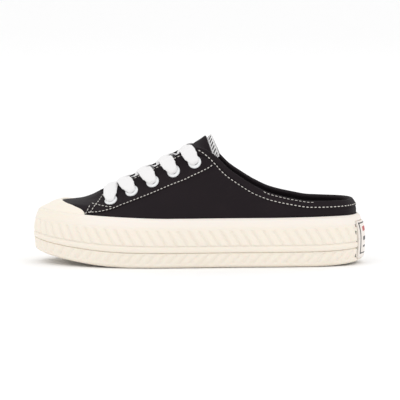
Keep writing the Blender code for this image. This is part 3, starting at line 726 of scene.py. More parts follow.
def cap_finish(settings):
    finish = Finish("toe_rubber")
    cloud = finish.noise(30.0, 3.0)
    pebble = finish.noise(1500.0, 2.0)
    scuff = finish.noise(120.0, 6.0, 0.7).between(0.62, 0.75)
    body = finish.mix(cloud, tone(settings.rubber, 0.99), tone(settings.rubber, 1.04))
    finish.set(Base_Color=finish.mix(scuff * 0.08, body, SCUFF))
    finish.set(Roughness=0.46 + scuff * 0.15, Normal=finish.bump(pebble, 0.08, 0.0002))
    finish.set(Subsurface_Weight=0.05, Subsurface_Scale=0.004)
    return finish.material


def lace_finish(settings):
    """Flat cotton lace: tubular plait with fine diagonal ribs."""
    finish = Finish("cotton_lace")
    u, v = finish.cloth()
    turn = 2 * math.pi * 10 / (settings.lace_rib / MM)
    ribs = ((u * turn).sine() * (v * turn).sine()) * 0.5 + 0.5
    fuzz = finish.noise(1800.0, 3.0)
    base = finish.mix(ribs * 0.6 + fuzz * 0.4, tone(settings.lace, 0.86), tone(settings.lace, 1.03))
    finish.set(Base_Color=base, Roughness=0.86 + (fuzz - 0.5) * 0.1)
    finish.set(Normal=finish.bump(ribs * 0.7 + fuzz * 0.4, 0.5, 0.0003), Sheen_Weight=0.2)
    return finish.material


def thread_finish(settings):
    finish = Finish("stitch_thread")
    twist = finish.noise(3200.0, 2.0)
    finish.set(Base_Color=finish.mix(twist, tone(settings.thread, 0.8), tone(settings.thread, 1.05)))
    finish.set(Roughness=0.7 + (twist - 0.5) * 0.2, Normal=finish.bump(twist, 0.3, 0.0001))
    return finish.material


def enamel_finish(settings):
    finish = Finish("white_enamel")
    orange_peel = finish.noise(900.0, 2.0)
    wear = finish.noise(300.0, 4.0).between(0.68, 0.8)
    finish.set(Base_Color=finish.mix(wear * 0.25, tone(settings.enamel, 1.0), BARE_METAL))
    finish.set(Roughness=0.22 + wear * 0.2, Metallic=wear * 0.3, Coat_Weight=0.4)
    finish.set(Normal=finish.bump(orange_peel, 0.05, 0.0001))
    return finish.material


def footbed_finish(settings):
    finish = Finish("footbed_textile")
    threads = finish.weave(0.9)
    nap = finish.noise(600.0, 4.0)
    worn = finish.noise(18.0, 2.0).between(0.45, 0.75)
    base = finish.mix(threads * 0.5 + nap * 0.5, tone(settings.footbed, 0.7), tone(settings.footbed, 1.5))
    finish.set(Base_Color=finish.mix(worn * 0.3, base, tone(settings.footbed, 2.2)))
    finish.set(Roughness=0.9 + (nap - 0.5) * 0.1, Normal=finish.bump(threads + nap, 0.3, 0.0003))
    return finish.material


def label_finish(settings):
    """White woven label with plain dark ticks along it."""
    finish = Finish("woven_label")
    u, v = finish.cloth()
    ticks = ((u + v * 0.6) * (2 * math.pi * 10 / 3.4)).sine().between(-0.05, 0.15)
    ticks = ticks * (1 - (v * 10 - 2.3).size().between(1.4, 1.7))
    threads = finish.weave(0.5)
    base = finish.mix(threads, tone(settings.lace, 0.88), tone(settings.lace, 1.0))
    finish.set(Base_Color=finish.mix(ticks * 0.96, base, LABEL_INK))
    finish.set(Roughness=0.75 + threads * 0.1, Normal=finish.bump(threads, 0.3, 0.0002))
    return finish.material


# Heel plate: the frame's middle, then height and half thickness of its red bar and two dark bars
PLATE_MIDDLE = 0.0215
PLATE_BARS = ((0.0288, 0.0018), (0.0210, 0.0015), (0.0145, 0.0007))


def patch_finish(settings):
    """Heel plate: cream field, thin dark outline, a red bar and dark bars as plain ornament."""
    finish = Finish("heel_plate_rubber")
    _, y, z = finish.parts(finish.place())
    blur = 0.0002

    def within(value, half):
        """1 inside a half size, with a short blur at its edge."""
        return 1 - value.between(half, half + blur)

    wide = y.size()
    tall = (z - PLATE_MIDDLE).size()
    side_line = (1 - within(wide, 0.0164)) * within(wide, 0.0180) * within(tall, 0.0128)
    rail = (1 - within(tall, 0.0116)) * within(tall, 0.0126) * within(wide, 0.0180)
    outline = side_line + rail - side_line * rail
    inside = within(wide, 0.0125)
    stripe, middle, low = (within((z - height).size(), half) * inside for height, half in PLATE_BARS)
    under = middle + low
    pebble = finish.noise(1400.0, 2.0)
    body = finish.mix(finish.noise(60.0), tone(settings.plate_cream_and_band_highlight, 0.97), tone(settings.plate_cream_and_band_highlight, 1.0))
    red = finish.mix(stripe, body, PLATE_RED)
    dark = finish.mix(outline + under - outline * under, red, PLATE_INK)
    finish.set(Base_Color=dark, Roughness=0.42 + (pebble - 0.5) * 0.1)
    finish.set(Normal=finish.bump(pebble, 0.08, 0.0002))
    return finish.material


FINISHES = {
    "canvas": canvas_finish,
    "rubber": rubber_finish,
    "cap": cap_finish,
    "lace": lace_finish,
    "thread": thread_finish,
    "enamel": enamel_finish,
    "footbed": footbed_finish,
    "label": label_finish,
    "patch": patch_finish,
}
MADE = {}


def dress(piece, finish, slot, *nodes):
    """Give a piece its finish, and hide the nodes that it stands for; the slot is not used."""
    if finish not in MADE:
        MADE[finish] = FINISHES[finish](bpy.context.scene.sneaker)
    piece.data.materials.clear()
    piece.data.materials.append(MADE[finish])
    if nodes:
        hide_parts(*nodes)


def rib_phase(arc, normal_y, height, lean):
    """Phase of the slanted ribs: way round, leaning opposite ways on the two sides."""
    return (arc + normal_y * height * math.tan(lean)) / (OUTLINE.round / rib_count())


def rib_count():
    return round(OUTLINE.round / (bpy.context.scene.sneaker.rib_pitch / MM))


def rounded(near):
    """Quarter circle: 0 at an edge, 1 from one width inside it."""
    return np.sqrt(1 - (1 - np.clip(near, 0, 1)) ** 2)


def groove(phase, width):
    """1 in the middle of each groove, 0 between, width as a share of the pitch."""
    near = np.abs(np.mod(phase, 1.0) - 0.5)
    return bell(near, width)


# Relief of the sole's side: depths in millimetres, places and widths as shares of the height
CORNER_DEPTH = 4.2
CORNER_TOP = 0.07
LIP_DEPTH = 0.9
LIP_START = 0.965
SPLIT_DEPTH = 1.1
BEAD_DEPTH = 1.0
LINE_WIDTH = 0.011
BEAD_SWELL = 0.35
BEAD_WIDTH = 0.045
UPPER_RIBS = (0.455, 0.475, 0.735, 0.795)
LOWER_RIBS = (0.075, 0.11, 0.275, 0.305)
UPPER_PIVOT = 0.6
LOWER_PIVOT = 0.18
UPPER_GROOVE = 0.15
LOWER_GROOVE = 0.20
LOWER_RIB_DEPTH = 0.75
STEP_DEPTH = 0.25
STEP_EDGES = (0.79, 0.80, 0.80, 0.82)
COLUMNS_PER_RIB = 8
LAYER_INSET = 12.0


def sole_side(shares, levels):
    """The sole's side in full relief: rows of levels, columns of shares."""
    settings = bpy.context.scene.sneaker
    share, level = np.meshgrid(shares, levels)
    normal = OUTLINE.normal(share)
    x = OUTLINE.at(share)[..., 0]
    bottom = sole_bottom(x)
    tall = sole_top(x) - bottom
    arc = share * OUTLINE.round
    patch = behind_patch(share)
    corner = np.clip((CORNER_TOP - level) / CORNER_TOP, 0, 1)
    lip = np.clip((level - LIP_START) / (1 - LIP_START), 0, 1)
    depth = side_inset(level) + CORNER_DEPTH * (1 - np.sqrt(1 - corner**2)) + LIP_DEPTH * lip**2
    relief = SPLIT_DEPTH * bell(level - LAYER_SPLIT, LINE_WIDTH)
    relief += BEAD_DEPTH * bell(level - BEAD_TOP, LINE_WIDTH)
    relief -= BEAD_SWELL * bell(level - (LAYER_SPLIT + BEAD_TOP) / 2, BEAD_WIDTH)
    upper_phase = rib_phase(arc, normal[..., 1], (level - UPPER_PIVOT) * tall, settings.upper_lean)
    lower_phase = rib_phase(arc, normal[..., 1], (LOWER_PIVOT - level) * tall, settings.lower_lean)
    deep = settings.rib_depth / MM
    relief += deep * window(level, UPPER_RIBS) * groove(upper_phase, UPPER_GROOVE)
    relief += LOWER_RIB_DEPTH * deep * window(level, LOWER_RIBS) * groove(lower_phase, LOWER_GROOVE)
    relief += STEP_DEPTH * window(level, STEP_EDGES)
    recess = patch * PATCH_RECESS * window(level, (0.04, 0.07, PATCH_HIGH + 0.01, PATCH_HIGH + 0.04))
    depth = depth + relief * (1 - patch) + recess
    plan = OUTLINE.inset(share, depth)
    return np.concatenate([plan, (bottom + level * tall)[..., None]], axis=-1)


def level_ring(shares, depth, height):
    """A ring inside the outline at a depth, with its height from a function of x."""
    plan = OUTLINE.inset(shares, np.full(len(shares), depth))
    return np.concatenate([plan, height(plan[:, 0])[:, None]], axis=-1)


def across_faces(start, count):
    """Strips that close a ring from side to side."""
    faces = [(start, start + 1, start + count - 1)]
    for k in range(1, count // 2 - 1):
        faces.append((start + k, start + k + 1, start + count - k - 1, start + count - k))
    middle = count // 2
    faces.append((start + middle - 1, start + middle, start + middle + 1))
    return faces


def closed_rings(grid):
    """Faces of stacked rings, closed at both ends."""
    rows, count = grid.shape[:2]
    faces = grid_faces(rows, count, False, True) + across_faces((rows - 1) * count, count)
    return faces + [tuple(reversed(face)) for face in across_faces(0, count)]


def rib_columns():
    """Shares round the sole, as many to each rib."""
    count = rib_count() * COLUMNS_PER_RIB
    return np.arange(count) / count


def layer_height(x):
    return sole_bottom(x) + LAYER_SPLIT * (sole_top(x) - sole_bottom(x))


def build_outsole(settings):
    """Lower layer with its slanted ribs, rounded bottom corner, shallow hollow and tread bars."""
    shares = rib_columns()
    levels = np.concatenate([np.linspace(0.0, CORNER_TOP, 7), np.linspace(0.078, LAYER_SPLIT, 26)])
    hollow = level_ring(shares, 10.2, lambda x: sole_bottom(x) + 1.2)
    ground = level_ring(shares, 9.0, sole_bottom)
    top = level_ring(shares, LAYER_INSET, layer_height)
    grid = np.array([hollow, ground, *sole_side(shares, levels), top])
    outsole = piece_from("outsole_rubber", grid, closed_rings(grid), cloth_map(grid))
    dress(outsole, "rubber", "sole_rubber", "outsole")
    build_tread(settings)


# Tread: its two fields as shares of the length, and a bar's section across its way and up
TREAD_FIELDS = ((0.10, 0.45), (0.62, 0.95))
TREAD_BAR = ((-2.6, 1.4), (-1.9, 0.0), (1.9, 0.0), (2.6, 1.4))
TREAD_MARGIN = 11.5
TREAD_WAVE = 1.2
TREAD_STEPS = 25


def build_tread(settings):
    """Wavy bars under forefoot and heel, down to the ground plane."""
    points = []
    faces = []
    for start, end in TREAD_FIELDS:
        for along in np.arange(start, end, settings.tread_pitch / MM / LENGTH):
            x = x_at(along)
            across = np.linspace(-1, 1, TREAD_STEPS)
            reach = OUTLINE.half(x) - TREAD_MARGIN
            ys = OUTLINE.centre(x) + across * reach
            wave = TREAD_WAVE * np.sin(across * 9.0)
            first = len(points)
            for y, shift in zip(ys, wave):
                ground = sole_bottom(x + shift)
                for side, lift in TREAD_BAR:
                    points.append((x + shift + side, y, ground + lift))
            faces += grid_faces(len(across), 4, False, False, first)
            last = first + 4 * (TREAD_STEPS - 1)
            faces += [(first + 3, first + 2, first + 1, first), tuple(last + k for k in range(4))]
            for k in range(len(across) - 1):
                faces.append((first + 4 * k + 4, first + 4 * k + 7, first + 4 * k + 3, first + 4 * k))
    tread = piece_from("tread_bars", points, faces, np.array(points)[:, :2])
    dress(tread, "rubber", "sole_rubber")


def build_midsole():
    """Platform layer: bead, slanted upper ribs, smooth band, rounded rim and the hollow inside."""
    shares = rib_columns()
    levels = np.concatenate([np.linspace(LAYER_SPLIT + 0.003, 0.82, 46), np.linspace(0.84, 1.0, 14)])
    side = sole_side(shares, levels)
    split = level_ring(shares, LAYER_INSET, lambda x: layer_height(x) + 0.1)
    rim = []
    for angle in np.linspace(0.25, 1.0, 6) * math.pi:
        depth = RIM_INSET + 0.9 + 0.8 * (1 - math.cos(angle))
        rim.append(level_ring(shares, depth, lambda x, lift=0.5 * math.sin(angle): sole_top(x) + lift))
    inner = [level_ring(shares, RIM_INSET + RIM_WIDTH, lambda x: sole_top(x) - 1.0)]
    inner.append(level_ring(shares, RIM_INSET + RIM_WIDTH, bed_floor))
    grid = np.array([split, *side, *rim, *inner])
    midsole = piece_from("midsole_rubber", grid, closed_rings(grid), cloth_map(grid))
    dress(midsole, "rubber", "sole_rubber", "midsole")


# Heel plate: its thickness, how far it stands proud and how soft its edges are
PLATE_THICKNESS = 0.6
PLATE_RISE = 1.1
PLATE_SOFT = 0.9


def build_heel_plate():
    """Rubber plate let into the back of the sole, with softly rounded edges."""
    arcs = np.linspace(-PATCH_WIDTH / 2, PATCH_WIDTH / 2, 61)
    levels = np.linspace(PATCH_LOW, PATCH_HIGH, 41)
    share, level = np.meshgrid(arcs / OUTLINE.round, levels)
    wide = PATCH_WIDTH / 2 - np.abs(share * OUTLINE.round)
    tall = np.minimum(level - PATCH_LOW, PATCH_HIGH - level) * SOLE_HEIGHT
    rise = PLATE_RISE * rounded(np.minimum(wide, tall) / PLATE_SOFT)
    depth = side_inset(level) + PATCH_RECESS - rise
    plan = OUTLINE.inset(share, depth)
    bottom = sole_bottom(plan[..., 0])
    outer = np.concatenate([plan, (bottom + level * (sole_top(plan[..., 0]) - bottom))[..., None]], axis=-1)
    plate = sheet_piece("heel_plate", outer)
    thicken(plate, PLATE_THICKNESS, -1.0)
    dress(plate, "patch", "patch_rubber", "heel_patch")


# Footbed: how far in from its edge, and how far down from its top
FOOTBED_DISH = ((0.0, 0.9), (0.25, 0.3), (0.9, 0.0), (2.5, 0.05), (5.0, 0.45), (9.0, 1.1), (14.0, 1.4))
FOOTBED_FIT = 0.3


def build_insole():
    """Footbed with a dished face and a rounded edge."""
    shares = np.arange(240) / 240
    rings = [level_ring(shares, INSOLE_INSET, lambda x: bed_floor(x) + FOOTBED_FIT)]
    for depth, down in FOOTBED_DISH:
        lift = FOOTBED_FIT + INSOLE_THICKNESS - down
        rings.append(level_ring(shares, INSOLE_INSET + depth, lambda x, lift=lift: bed_floor(x) + lift))
    grid = np.array(rings)
    faces = grid_faces(len(grid), len(shares), False, True)
    faces += across_faces((len(grid) - 1) * len(shares), len(shares))
    insole = piece_from("footbed", grid, faces, grid[..., :2])
    dress(insole, "footbed", "footbed", "insole")


def build_upper():
    """Hollow canvas shell with its creases, a rounded edge and a lining face."""
    shares = np.arange(440) / 440
    ways = np.concatenate([[-1.0, -0.4], np.linspace(-0.05, 1.0, 60)])
    share, way = np.meshgrid(shares, ways)
    outer = on_upper(share, way, 0.0)
    edge = upper_surface(shares, 1.0)
    up = unit(edge - upper_surface(shares, 0.93))
    out = upper_normal(shares, 1.0)
    rim = [edge + out * offset + up * (over * 0.8) for offset, over in round_section(UPPER_WALL)]
    inner = on_upper(share[::-1], way[::-1], -UPPER_WALL)
    grid = np.concatenate([outer, np.array(rim), inner])
    upper = sheet_piece("canvas_upper", grid, wrap_columns=True, wrap_rows=True)
    dress(upper, "canvas", "canvas", "upper")


def pillow(shares, low, high, count, thickness, soft, ends):
    """Patch over the upper: its face rises from its edges to its full thickness."""
    rows = (1 - np.cos(np.linspace(0, math.pi, count))) / 2 * 0.5 + np.linspace(0, 1, count) * 0.5
    ways = low[None, :] + (high - low)[None, :] * rows[:, None]
    share = np.broadcast_to(shares, ways.shape)
    length = column_length(shares)[None, :]
    near = np.minimum(ways - low[None, :], high[None, :] - ways) * length
    for end in ends:
        near = np.minimum(near, np.abs(share - end) * OUTLINE.round)
    rise = thickness * rounded(near / soft)
    outer = on_upper(share, ways, rise + 0.02)
    inner = on_upper(share[::-1], ways[::-1], -0.4)
    return np.concatenate([outer, inner])


def build_toe_cap():
    """Rubber cap over the vamp, with a U-shaped rear edge."""
    part = np.sin(np.linspace(-math.pi / 2, math.pi / 2, 141))
    shares = OUTLINE.toe + part * CAP_SIDE_ARC / OUTLINE.round
    high = smooth(CAP_EDGE, 1, np.abs(part))
    low = np.full(len(shares), -0.03)
    grid = pillow(shares, low, high, 44, CAP_THICKNESS, CAP_SOFT, ())
    cap = sheet_piece("rubber_toe_cap", grid, wrap_rows=True, caps=True)
    dress(cap, "cap", "sole_rubber", "toe_cap")


# Eyestay: its ends as shares of the length, and how far its face stands off the canvas
EYESTAY_FRONT = 0.168
EYESTAY_REAR = 0.550
EYESTAY_FACE = 0.95


def eyestay_band(side):
    """Columns of an eyestay, its lower and its upper way."""
    start = share_at_way(side, x_at(EYESTAY_FRONT), 0.1)
    finish = share_at_way(side, x_at(EYESTAY_REAR), 0.9)
    shares = np.linspace(start, finish, 150)
    along = along_at(shares)
    low = smooth(EYESTAY_EDGE, 1, along)
    taken = 1.0 + 4.6 * ease(along, EYELET_LAST - 0.012, EYELET_LAST + 0.01)
    return shares, low, way_below_edge(shares, taken)


def build_eyestays():
    for side, word in SIDES:
        shares, low, high = eyestay_band(side)
        grid = pillow(shares, low, high, 34, EYESTAY_FACE, 0.9, (shares[0], shares[-1]))
        piece = sheet_piece(f"canvas_eyestay_{word}", grid, wrap_rows=True, caps=True)
        dress(piece, "canvas", "canvas", f"eyestay_{word}")


# Collar tape: its rows below the edge outside, and inside with how far they stand off the lining
TAPE_OUTSIDE = (5.2, 5.1, 4.9, 4.6, 3.4, 2.2, 1.0, 0.2)
TAPE_INSIDE = ((0.2, 1.1), (1.5, 1.1), (3.0, 1.1), (4.6, 1.1), (5.2, 0.2))


def build_binding():
    """Folded tape round the collar's edge."""
    start = share_at(-1, x_at(EYELET_LAST + 0.004), 0.0)
    finish = share_at(1, x_at(EYELET_LAST + 0.004), 0.0)
    shares = np.concatenate([np.linspace(finish, 1.0, 150)[:-1], np.linspace(0.0, start, 150)])
    edge = upper_surface(shares, 1.0)
    up = unit(edge - upper_surface(shares, way_below_edge(shares, 4.0)))
    out = upper_normal(shares, 1.0)
    rows = []
    for drop in TAPE_OUTSIDE:
        rows.append(on_upper(shares, way_below_edge(shares, drop), tape_rise(drop)))
    thick = UPPER_WALL + 2.2
    for offset, over in round_section(thick, 7):
        rows.append(edge + out * (offset + 1.1) + up * (0.1 + over * 0.55))
    for drop, off in TAPE_INSIDE:
        rows.append(on_upper(shares, way_below_edge(shares, drop), -UPPER_WALL - off))
    binding = sheet_piece("collar_tape", np.array(rows), wrap_rows=True, caps=True)
    dress(binding, "canvas", "canvas", "collar_binding")


# Tongue: half its width, the roll of its edges, its plumpness and belly; and its label
TONGUE_HALF = 22.0
TONGUE_SOFT = 1.2
TONGUE_PLUMP = 1.1
TONGUE_BELLY = 1.2
LABEL_DEPTH = 3.1
LABEL_THICKNESS = 0.5


def build_tongue():
    """Canvas tongue with a soft rolled edge, and the woven label under its end."""
    along = np.concatenate([np.linspace(0.182, 0.507, 60), np.linspace(0.509, TONGUE_END, 8)])
    across = np.sin(np.linspace(-math.pi / 2, math.pi / 2, 61))
    run, over = np.meshgrid(along, across, indexing="ij")
    ripple = 0.35 * np.sin(run * 95.0 + over * 1.5) * (1 - np.abs(over)) * ease(run, 0.25, 0.35)
    ends = (TONGUE_END - run) * LENGTH / TONGUE_SOFT
    edges = (1 - np.abs(over)) * TONGUE_HALF / TONGUE_SOFT
    plump = TONGUE_PLUMP * rounded(np.minimum(ends, edges))
    top = on_tongue(run, over, ripple + plump - TONGUE_PLUMP)
    low = on_tongue(run[::-1], over[::-1], ripple[::-1] - TONGUE_BELLY - plump[::-1])
    tongue = sheet_piece("canvas_tongue", np.concatenate([top, low]), wrap_rows=True, caps=True)
    dress(tongue, "canvas", "canvas", "tongue")
    run, over = np.meshgrid(
        np.linspace(LABEL_START, LABEL_END, 30), np.linspace(-LABEL_HALF, LABEL_HALF, 60), indexing="ij"
    )
    grid = on_tongue(run, over, -LABEL_DEPTH)
    cloth = cloth_map(grid)
    cloth[..., 1] = cloth[-1:, :, 1] - cloth[..., 1]
    label = piece_from("woven_label", grid, grid_faces(30, 60, False, False), cloth)
    thicken(label, LABEL_THICKNESS, 0.0)
    dress(label, "label", "label", "tongue_label")


def eyelet_frame(side, number):
    """Centre on the eyestay's face, outward normal and the way up to the throat's edge."""
    along = np.linspace(EYELET_FIRST, EYELET_LAST, EYELET_COUNT)[number - 1]
    drop = EYELET_DROPS[number - 1]
    share = share_at(side, x_at(along), drop)
    way = way_below_edge(share, drop)
    centre = on_upper(share, way, 1.0)
    normal = upper_normal(share, way)
    up = upper_surface(share, 1.0) - centre
    return centre, normal, unit(up - normal * up.dot(normal))


# Eyelet ring: bore, depth of its barrel, middle and size of its roll, outer edge; and its hole
RING_BORE = 2.7
RING_BARREL = 2.6
RING_MIDDLE = 4.05
RING_ROLL = 1.35
RING_HEIGHT = 1.0
RING_SEAT = 5.3
HOLE_RADIUS = 2.8


def circle(axes, radius, height, steps):
    """Points round an axis, at a height over its centre."""
    centre, normal, up = axes
    angles = (np.arange(steps) * 2 * math.pi / steps)[:, None]
    return centre + normal * height + (np.cross(normal, up) * np.cos(angles) + up * np.sin(angles)) * radius


def build_eyelets():
    """Rolled white rings with a dark throat, five a side."""
    profile = [(RING_BORE, -RING_BARREL)]
    for angle in np.linspace(math.pi, 0.0, 13):
        profile.append((RING_MIDDLE + RING_ROLL * math.cos(angle), 0.1 + RING_HEIGHT * math.sin(angle)))
    profile.append((RING_SEAT, -0.3))
    for side, word in SIDES:
        for number in range(1, EYELET_COUNT + 1):
            axes = eyelet_frame(side, number)
            grid = np.array([circle(axes, radius, height, 48) for radius, height in profile])
            ring = sheet_piece(f"ring_{word}_{number}", grid, wrap_columns=True)
            dress(ring, "enamel", "eyelet", f"eyelet_{word}_{number}")
            disc = circle(axes, HOLE_RADIUS, -0.4, 24)
            hole = piece_from(f"punched_hole_{word}_{number}", disc, [tuple(range(24))], disc[:, :2])
            dress(hole, "footbed", "footbed")


# Lace: how far its middle lies over the tongue, and its stops at an eyelet
LACE_LIFT = 1.9
EYELET_STOPS = (
    # over the eyelet, back along the lace, its face outward and down the hole, width, thickness
    (2.4, 7.0, 1.0, 0.0, 11.2, 2.6),
    (2.6, 3.4, 1.0, 0.0, 10.2, 2.8),
    (1.7, -0.5, 1.0, 0.9, 7.4, 2.8),
    (-1.8, -1.1, 0.0, 1.0, 4.6, 2.4),
)


def lace_piece(name, stops, nodes):
    """Flat puffy lace through (point, normal, width, thickness) stops."""
    samples = 110
    middles = curve_through([stop[0] for stop in stops], samples)
    normals = curve_through([stop[1] for stop in stops], samples)
    widths = curve_through([np.array([stop[2], stop[3]]) for stop in stops], samples)
    ahead = unit(np.gradient(middles, axis=0))
    normals = unit(normals - ahead * np.sum(normals * ahead, axis=1, keepdims=True))
    beside = np.cross(normals, ahead)
    angles = np.linspace(0, 2 * math.pi, 33)[:-1]
    across = np.sign(np.cos(angles)) * np.abs(np.cos(angles)) ** 0.75
    rise = np.sign(np.sin(angles)) * np.abs(np.sin(angles)) ** 0.85
    run = np.linspace(0, 1, samples)
    wobble = 1 + 0.035 * np.sin(run * 23.0 + len(name)) + 0.02 * np.sin(run * 57.0)
    sideways = across[None, :] * widths[:, :1] * wobble[:, None] / 2
    upwards = rise[None, :] * widths[:, 1:] / 2
    grid = middles[:, None, :] + beside[:, None, :] * sideways[..., None]
    grid = grid + normals[:, None, :] * upwards[..., None]
    lace = sheet_piece(name, np.transpose(grid, (1, 0, 2)), wrap_rows=True, caps=True)
    dress(lace, "lace", "lace", *nodes)


def lace_stop(point, normal, width=9.8, thick=2.7):
    return (np.asarray(point, float), np.asarray(normal, float), width, thick)


def into_eyelet(side, number, edge):
    """Stops of a lace that comes from a point over the edge and turns down into its eyelet."""
    centre, normal, _ = eyelet_frame(side, number)
    lead = edge[0] - centre
    lead = unit(lead - normal * lead.dot(normal))
    return [
        lace_stop(centre + normal * over + lead * back, normal * outward - lead * inward, width, thick)
        for over, back, outward, inward, width, thick in EYELET_STOPS
    ]


def over_edge(side, along):
    share = share_at(side, x_at(along), 0.0)
    normal = unit(upper_normal(share, 1.0) + np.array([0.0, 0.0, 0.7]))
    lift, width = (2.2, 12.0) if side < 0 else (1.1, 8.5)
    return lace_stop(upper_surface(share, 1.0) + normal * lift, normal, width, 2.2)


def across_tongue(along, across, lift):
    normal = tongue_normal(along, across)
    return lace_stop(tongue_point(along, across) + normal * (LACE_LIFT + lift), normal)


def build_laces(settings):
    """The bar at the toe end and the four crossings, run through the eyelets."""
    alongs = np.linspace(EYELET_FIRST, EYELET_LAST, EYELET_COUNT)
    first = alongs[0]
    near_edge, far_edge = over_edge(-1, first), over_edge(1, first)
    stops = into_eyelet(-1, 1, near_edge)[::-1] + [near_edge, across_tongue(first, 0.0, 0.3), far_edge]
    lace_piece("lace_bar", stops + into_eyelet(1, 1, far_edge), ("lace_bar_1",))
    for number in range(1, EYELET_COUNT):
        for side, word in SIDES:
            centre, normal, up = eyelet_frame(side, number)
            near, far = alongs[number - 1], alongs[number]
            lift = 0.0 if side > 0 else 1.4
            sunk = 0.0 if side < 0 else (-1.6 if number < 3 else -2.6)
            stops = [
                lace_stop(centre - normal * 3.4 + up * 1.0, normal, 7.5, 1.6),
                lace_stop(centre - normal * 3.0 + up * 10.0, normal, 8.5, 1.6),
                across_tongue(near * 0.62 + far * 0.38, side * 0.45, sunk),
                across_tongue(near * 0.5 + far * 0.5, 0.0, lift),
                over_edge(-side, far - settings.lace_lean / MM / LENGTH),
            ]
            nodes = (f"lace_cross_{number}",) if side < 0 else ()
            stops += into_eyelet(-side, number + 1, stops[-1])
            lace_piece(f"lace_from_{word}_{number}", stops, nodes)


def stitch_run(points, normals, pitch, length, width):
    """Points and faces of a row of raised thread stitches along a line."""
    steps = np.linalg.norm(np.diff(points, axis=0), axis=1)
    way = np.concatenate([[0], np.cumsum(steps)])
    count = int(way[-1] / pitch)
    found, faces = [], []
    for k in range(count):
        middle = (k + 0.5) * pitch
        first = len(found)
        for part in np.linspace(-0.5, 0.5, 5):
            place = middle + part * length
            centre = np.array([np.interp(place, way, points[:, axis]) for axis in range(3)])
            normal = np.array([np.interp(place, way, normals[:, axis]) for axis in range(3)])
            ahead = np.array([np.interp(place + 0.3, way, points[:, axis]) for axis in range(3)]) - centre
            beside = np.cross(normal, ahead / (np.linalg.norm(ahead) + 1e-9))
            plump = math.sqrt(max(0.0, 1 - (2 * part) ** 2)) * 0.85 + 0.15
            for angle in np.arange(6) * math.pi / 3:
                reach = beside * math.cos(angle) + normal * (math.sin(angle) * 0.75)
                found.append(centre + reach * width / 2 * plump + normal * 0.08)
        faces += grid_faces(5, 6, False, True, first)
        faces += [tuple(first + j for j in range(6)), tuple(first + 24 + j for j in reversed(range(6)))]
    return found, faces


def seam_at(shares, ways, lift):
    """Points and normals of a line over the upper."""
    return on_upper(shares, ways, lift), upper_normal(shares, ways)


def stitch_path(side, path, start, end, samples=160):
    """A line over the upper through (share of length, way) places, with its lift at both ends."""
    places = [(share_at_way(side, x_at(along), way), way) for along, way in path]
    line = curve_through([np.array(place) for place in places], samples)
    lift = np.linspace(start, end, samples)
    return seam_at(line[:, 0], line[:, 1], lift)


# Lines of stitching: share of the length and way up the side
QUARTER_FRONT = ((0.1745, 0.055), (0.186, 0.254), (0.1975, 0.475), (0.2105, 0.759), (0.218, 0.90))
QUARTER_SECOND = ((0.1595, 0.023), (0.1695, 0.201), (0.174, 0.298), (0.1786, 0.370))
STAY_UPPER = ((0.1786, 0.388), (0.193, 0.331), (0.208, 0.311), (0.228, 0.285), (0.246, 0.290))

# Each seam with its lift over the canvas at its start and end
SEAMS = ((QUARTER_FRONT, 0.95, 0.95), (QUARTER_SECOND, 0.1, 1.4), (STAY_UPPER, 1.3, 1.3))

# Collar stitch: millimetres below the edge, by share of the length
COLLAR_STITCH = (
    # base, below
    (0.480, 1.2),
    (0.500, 1.6),
    (0.518, 3.4),
    (0.532, 4.8),
    (0.5625, 7.2),
    (0.600, 6.2),
    (0.656, 5.9),
    (0.695, 5.1),
    (0.808, 4.5),
    (0.905, 4.2),
    (0.973, 3.9),
)
EDGE_STITCH = (0.69, 0.85)
TAPE_WIDTH = 5.2


def tape_rise(drop):
    """Height of the collar tape's face over the canvas, at a distance below the edge."""
    drop = np.asarray(drop, float)
    return 0.95 * np.sqrt(np.clip((TAPE_WIDTH - drop) / 0.6, 0, 1)) + 0.12


def build_stitches(settings):
    """All the pale topstitching, as raised threads."""
    pitch = settings.stitch_pitch / MM
    points, faces = [], []

    def add(line, normals, length=0.66, width=0.75, pace=1.0):
        found, new = stitch_run(line, normals, pitch * pace, pitch * pace * length, width)
        faces.extend(tuple(corner + len(points) for corner in face) for face in new)
        points.extend(found)

    for side in (-1, 1):
        shares, low, _ = eyestay_band(side)
        ways = low + 1.2 / column_length(shares)
        add(*seam_at(shares, ways, EYESTAY_FACE), 0.68, 0.72, 0.9)
        along = along_at(shares)
        throat = shares[(along > 0.21) & (along < EYELET_LAST + 0.001)]
        add(*seam_at(throat, way_below_edge(throat, 2.4), EYESTAY_FACE))
        for path, start, end in SEAMS:
            add(*stitch_path(side, path, start, end))
    start = share_at(-1, x_at(EYELET_LAST + 0.002), 1.4)
    finish = share_at(1, x_at(EYELET_LAST + 0.002), 1.4)
    collar = np.concatenate([np.linspace(finish, 1.0, 300)[:-1], np.linspace(0.0, start, 300)])
    along = along_at(collar)
    below = smooth(COLLAR_STITCH, 1, along)
    rise = np.maximum(tape_rise(below), np.where(along < 0.557, 1.0, 0.0))
    add(*seam_at(collar, way_below_edge(collar, below), rise))
    for side in (-1, 1):
        own = collar < 0.5 if side < 0 else collar > 0.5
        rim = collar[own & (along > EDGE_STITCH[0]) & (along < EDGE_STITCH[1])]
        add(*seam_at(rim, way_below_edge(rim, 0.6), tape_rise(0.6)), 0.7, 0.5)
    stitches = piece_from("topstitching", points, faces, np.array(points)[:, :2])
    dress(stitches, "thread", "lace")


LAMPS = (
    # name, place, size, power
    ("key", (-0.9, -1.3, 1.5), 1.4, 16.0),
    ("side", (1.4, -0.9, 1.1), 1.0, 7.0),
    ("rear", (0.3, 1.4, 1.3), 1.2, 7.0),
)


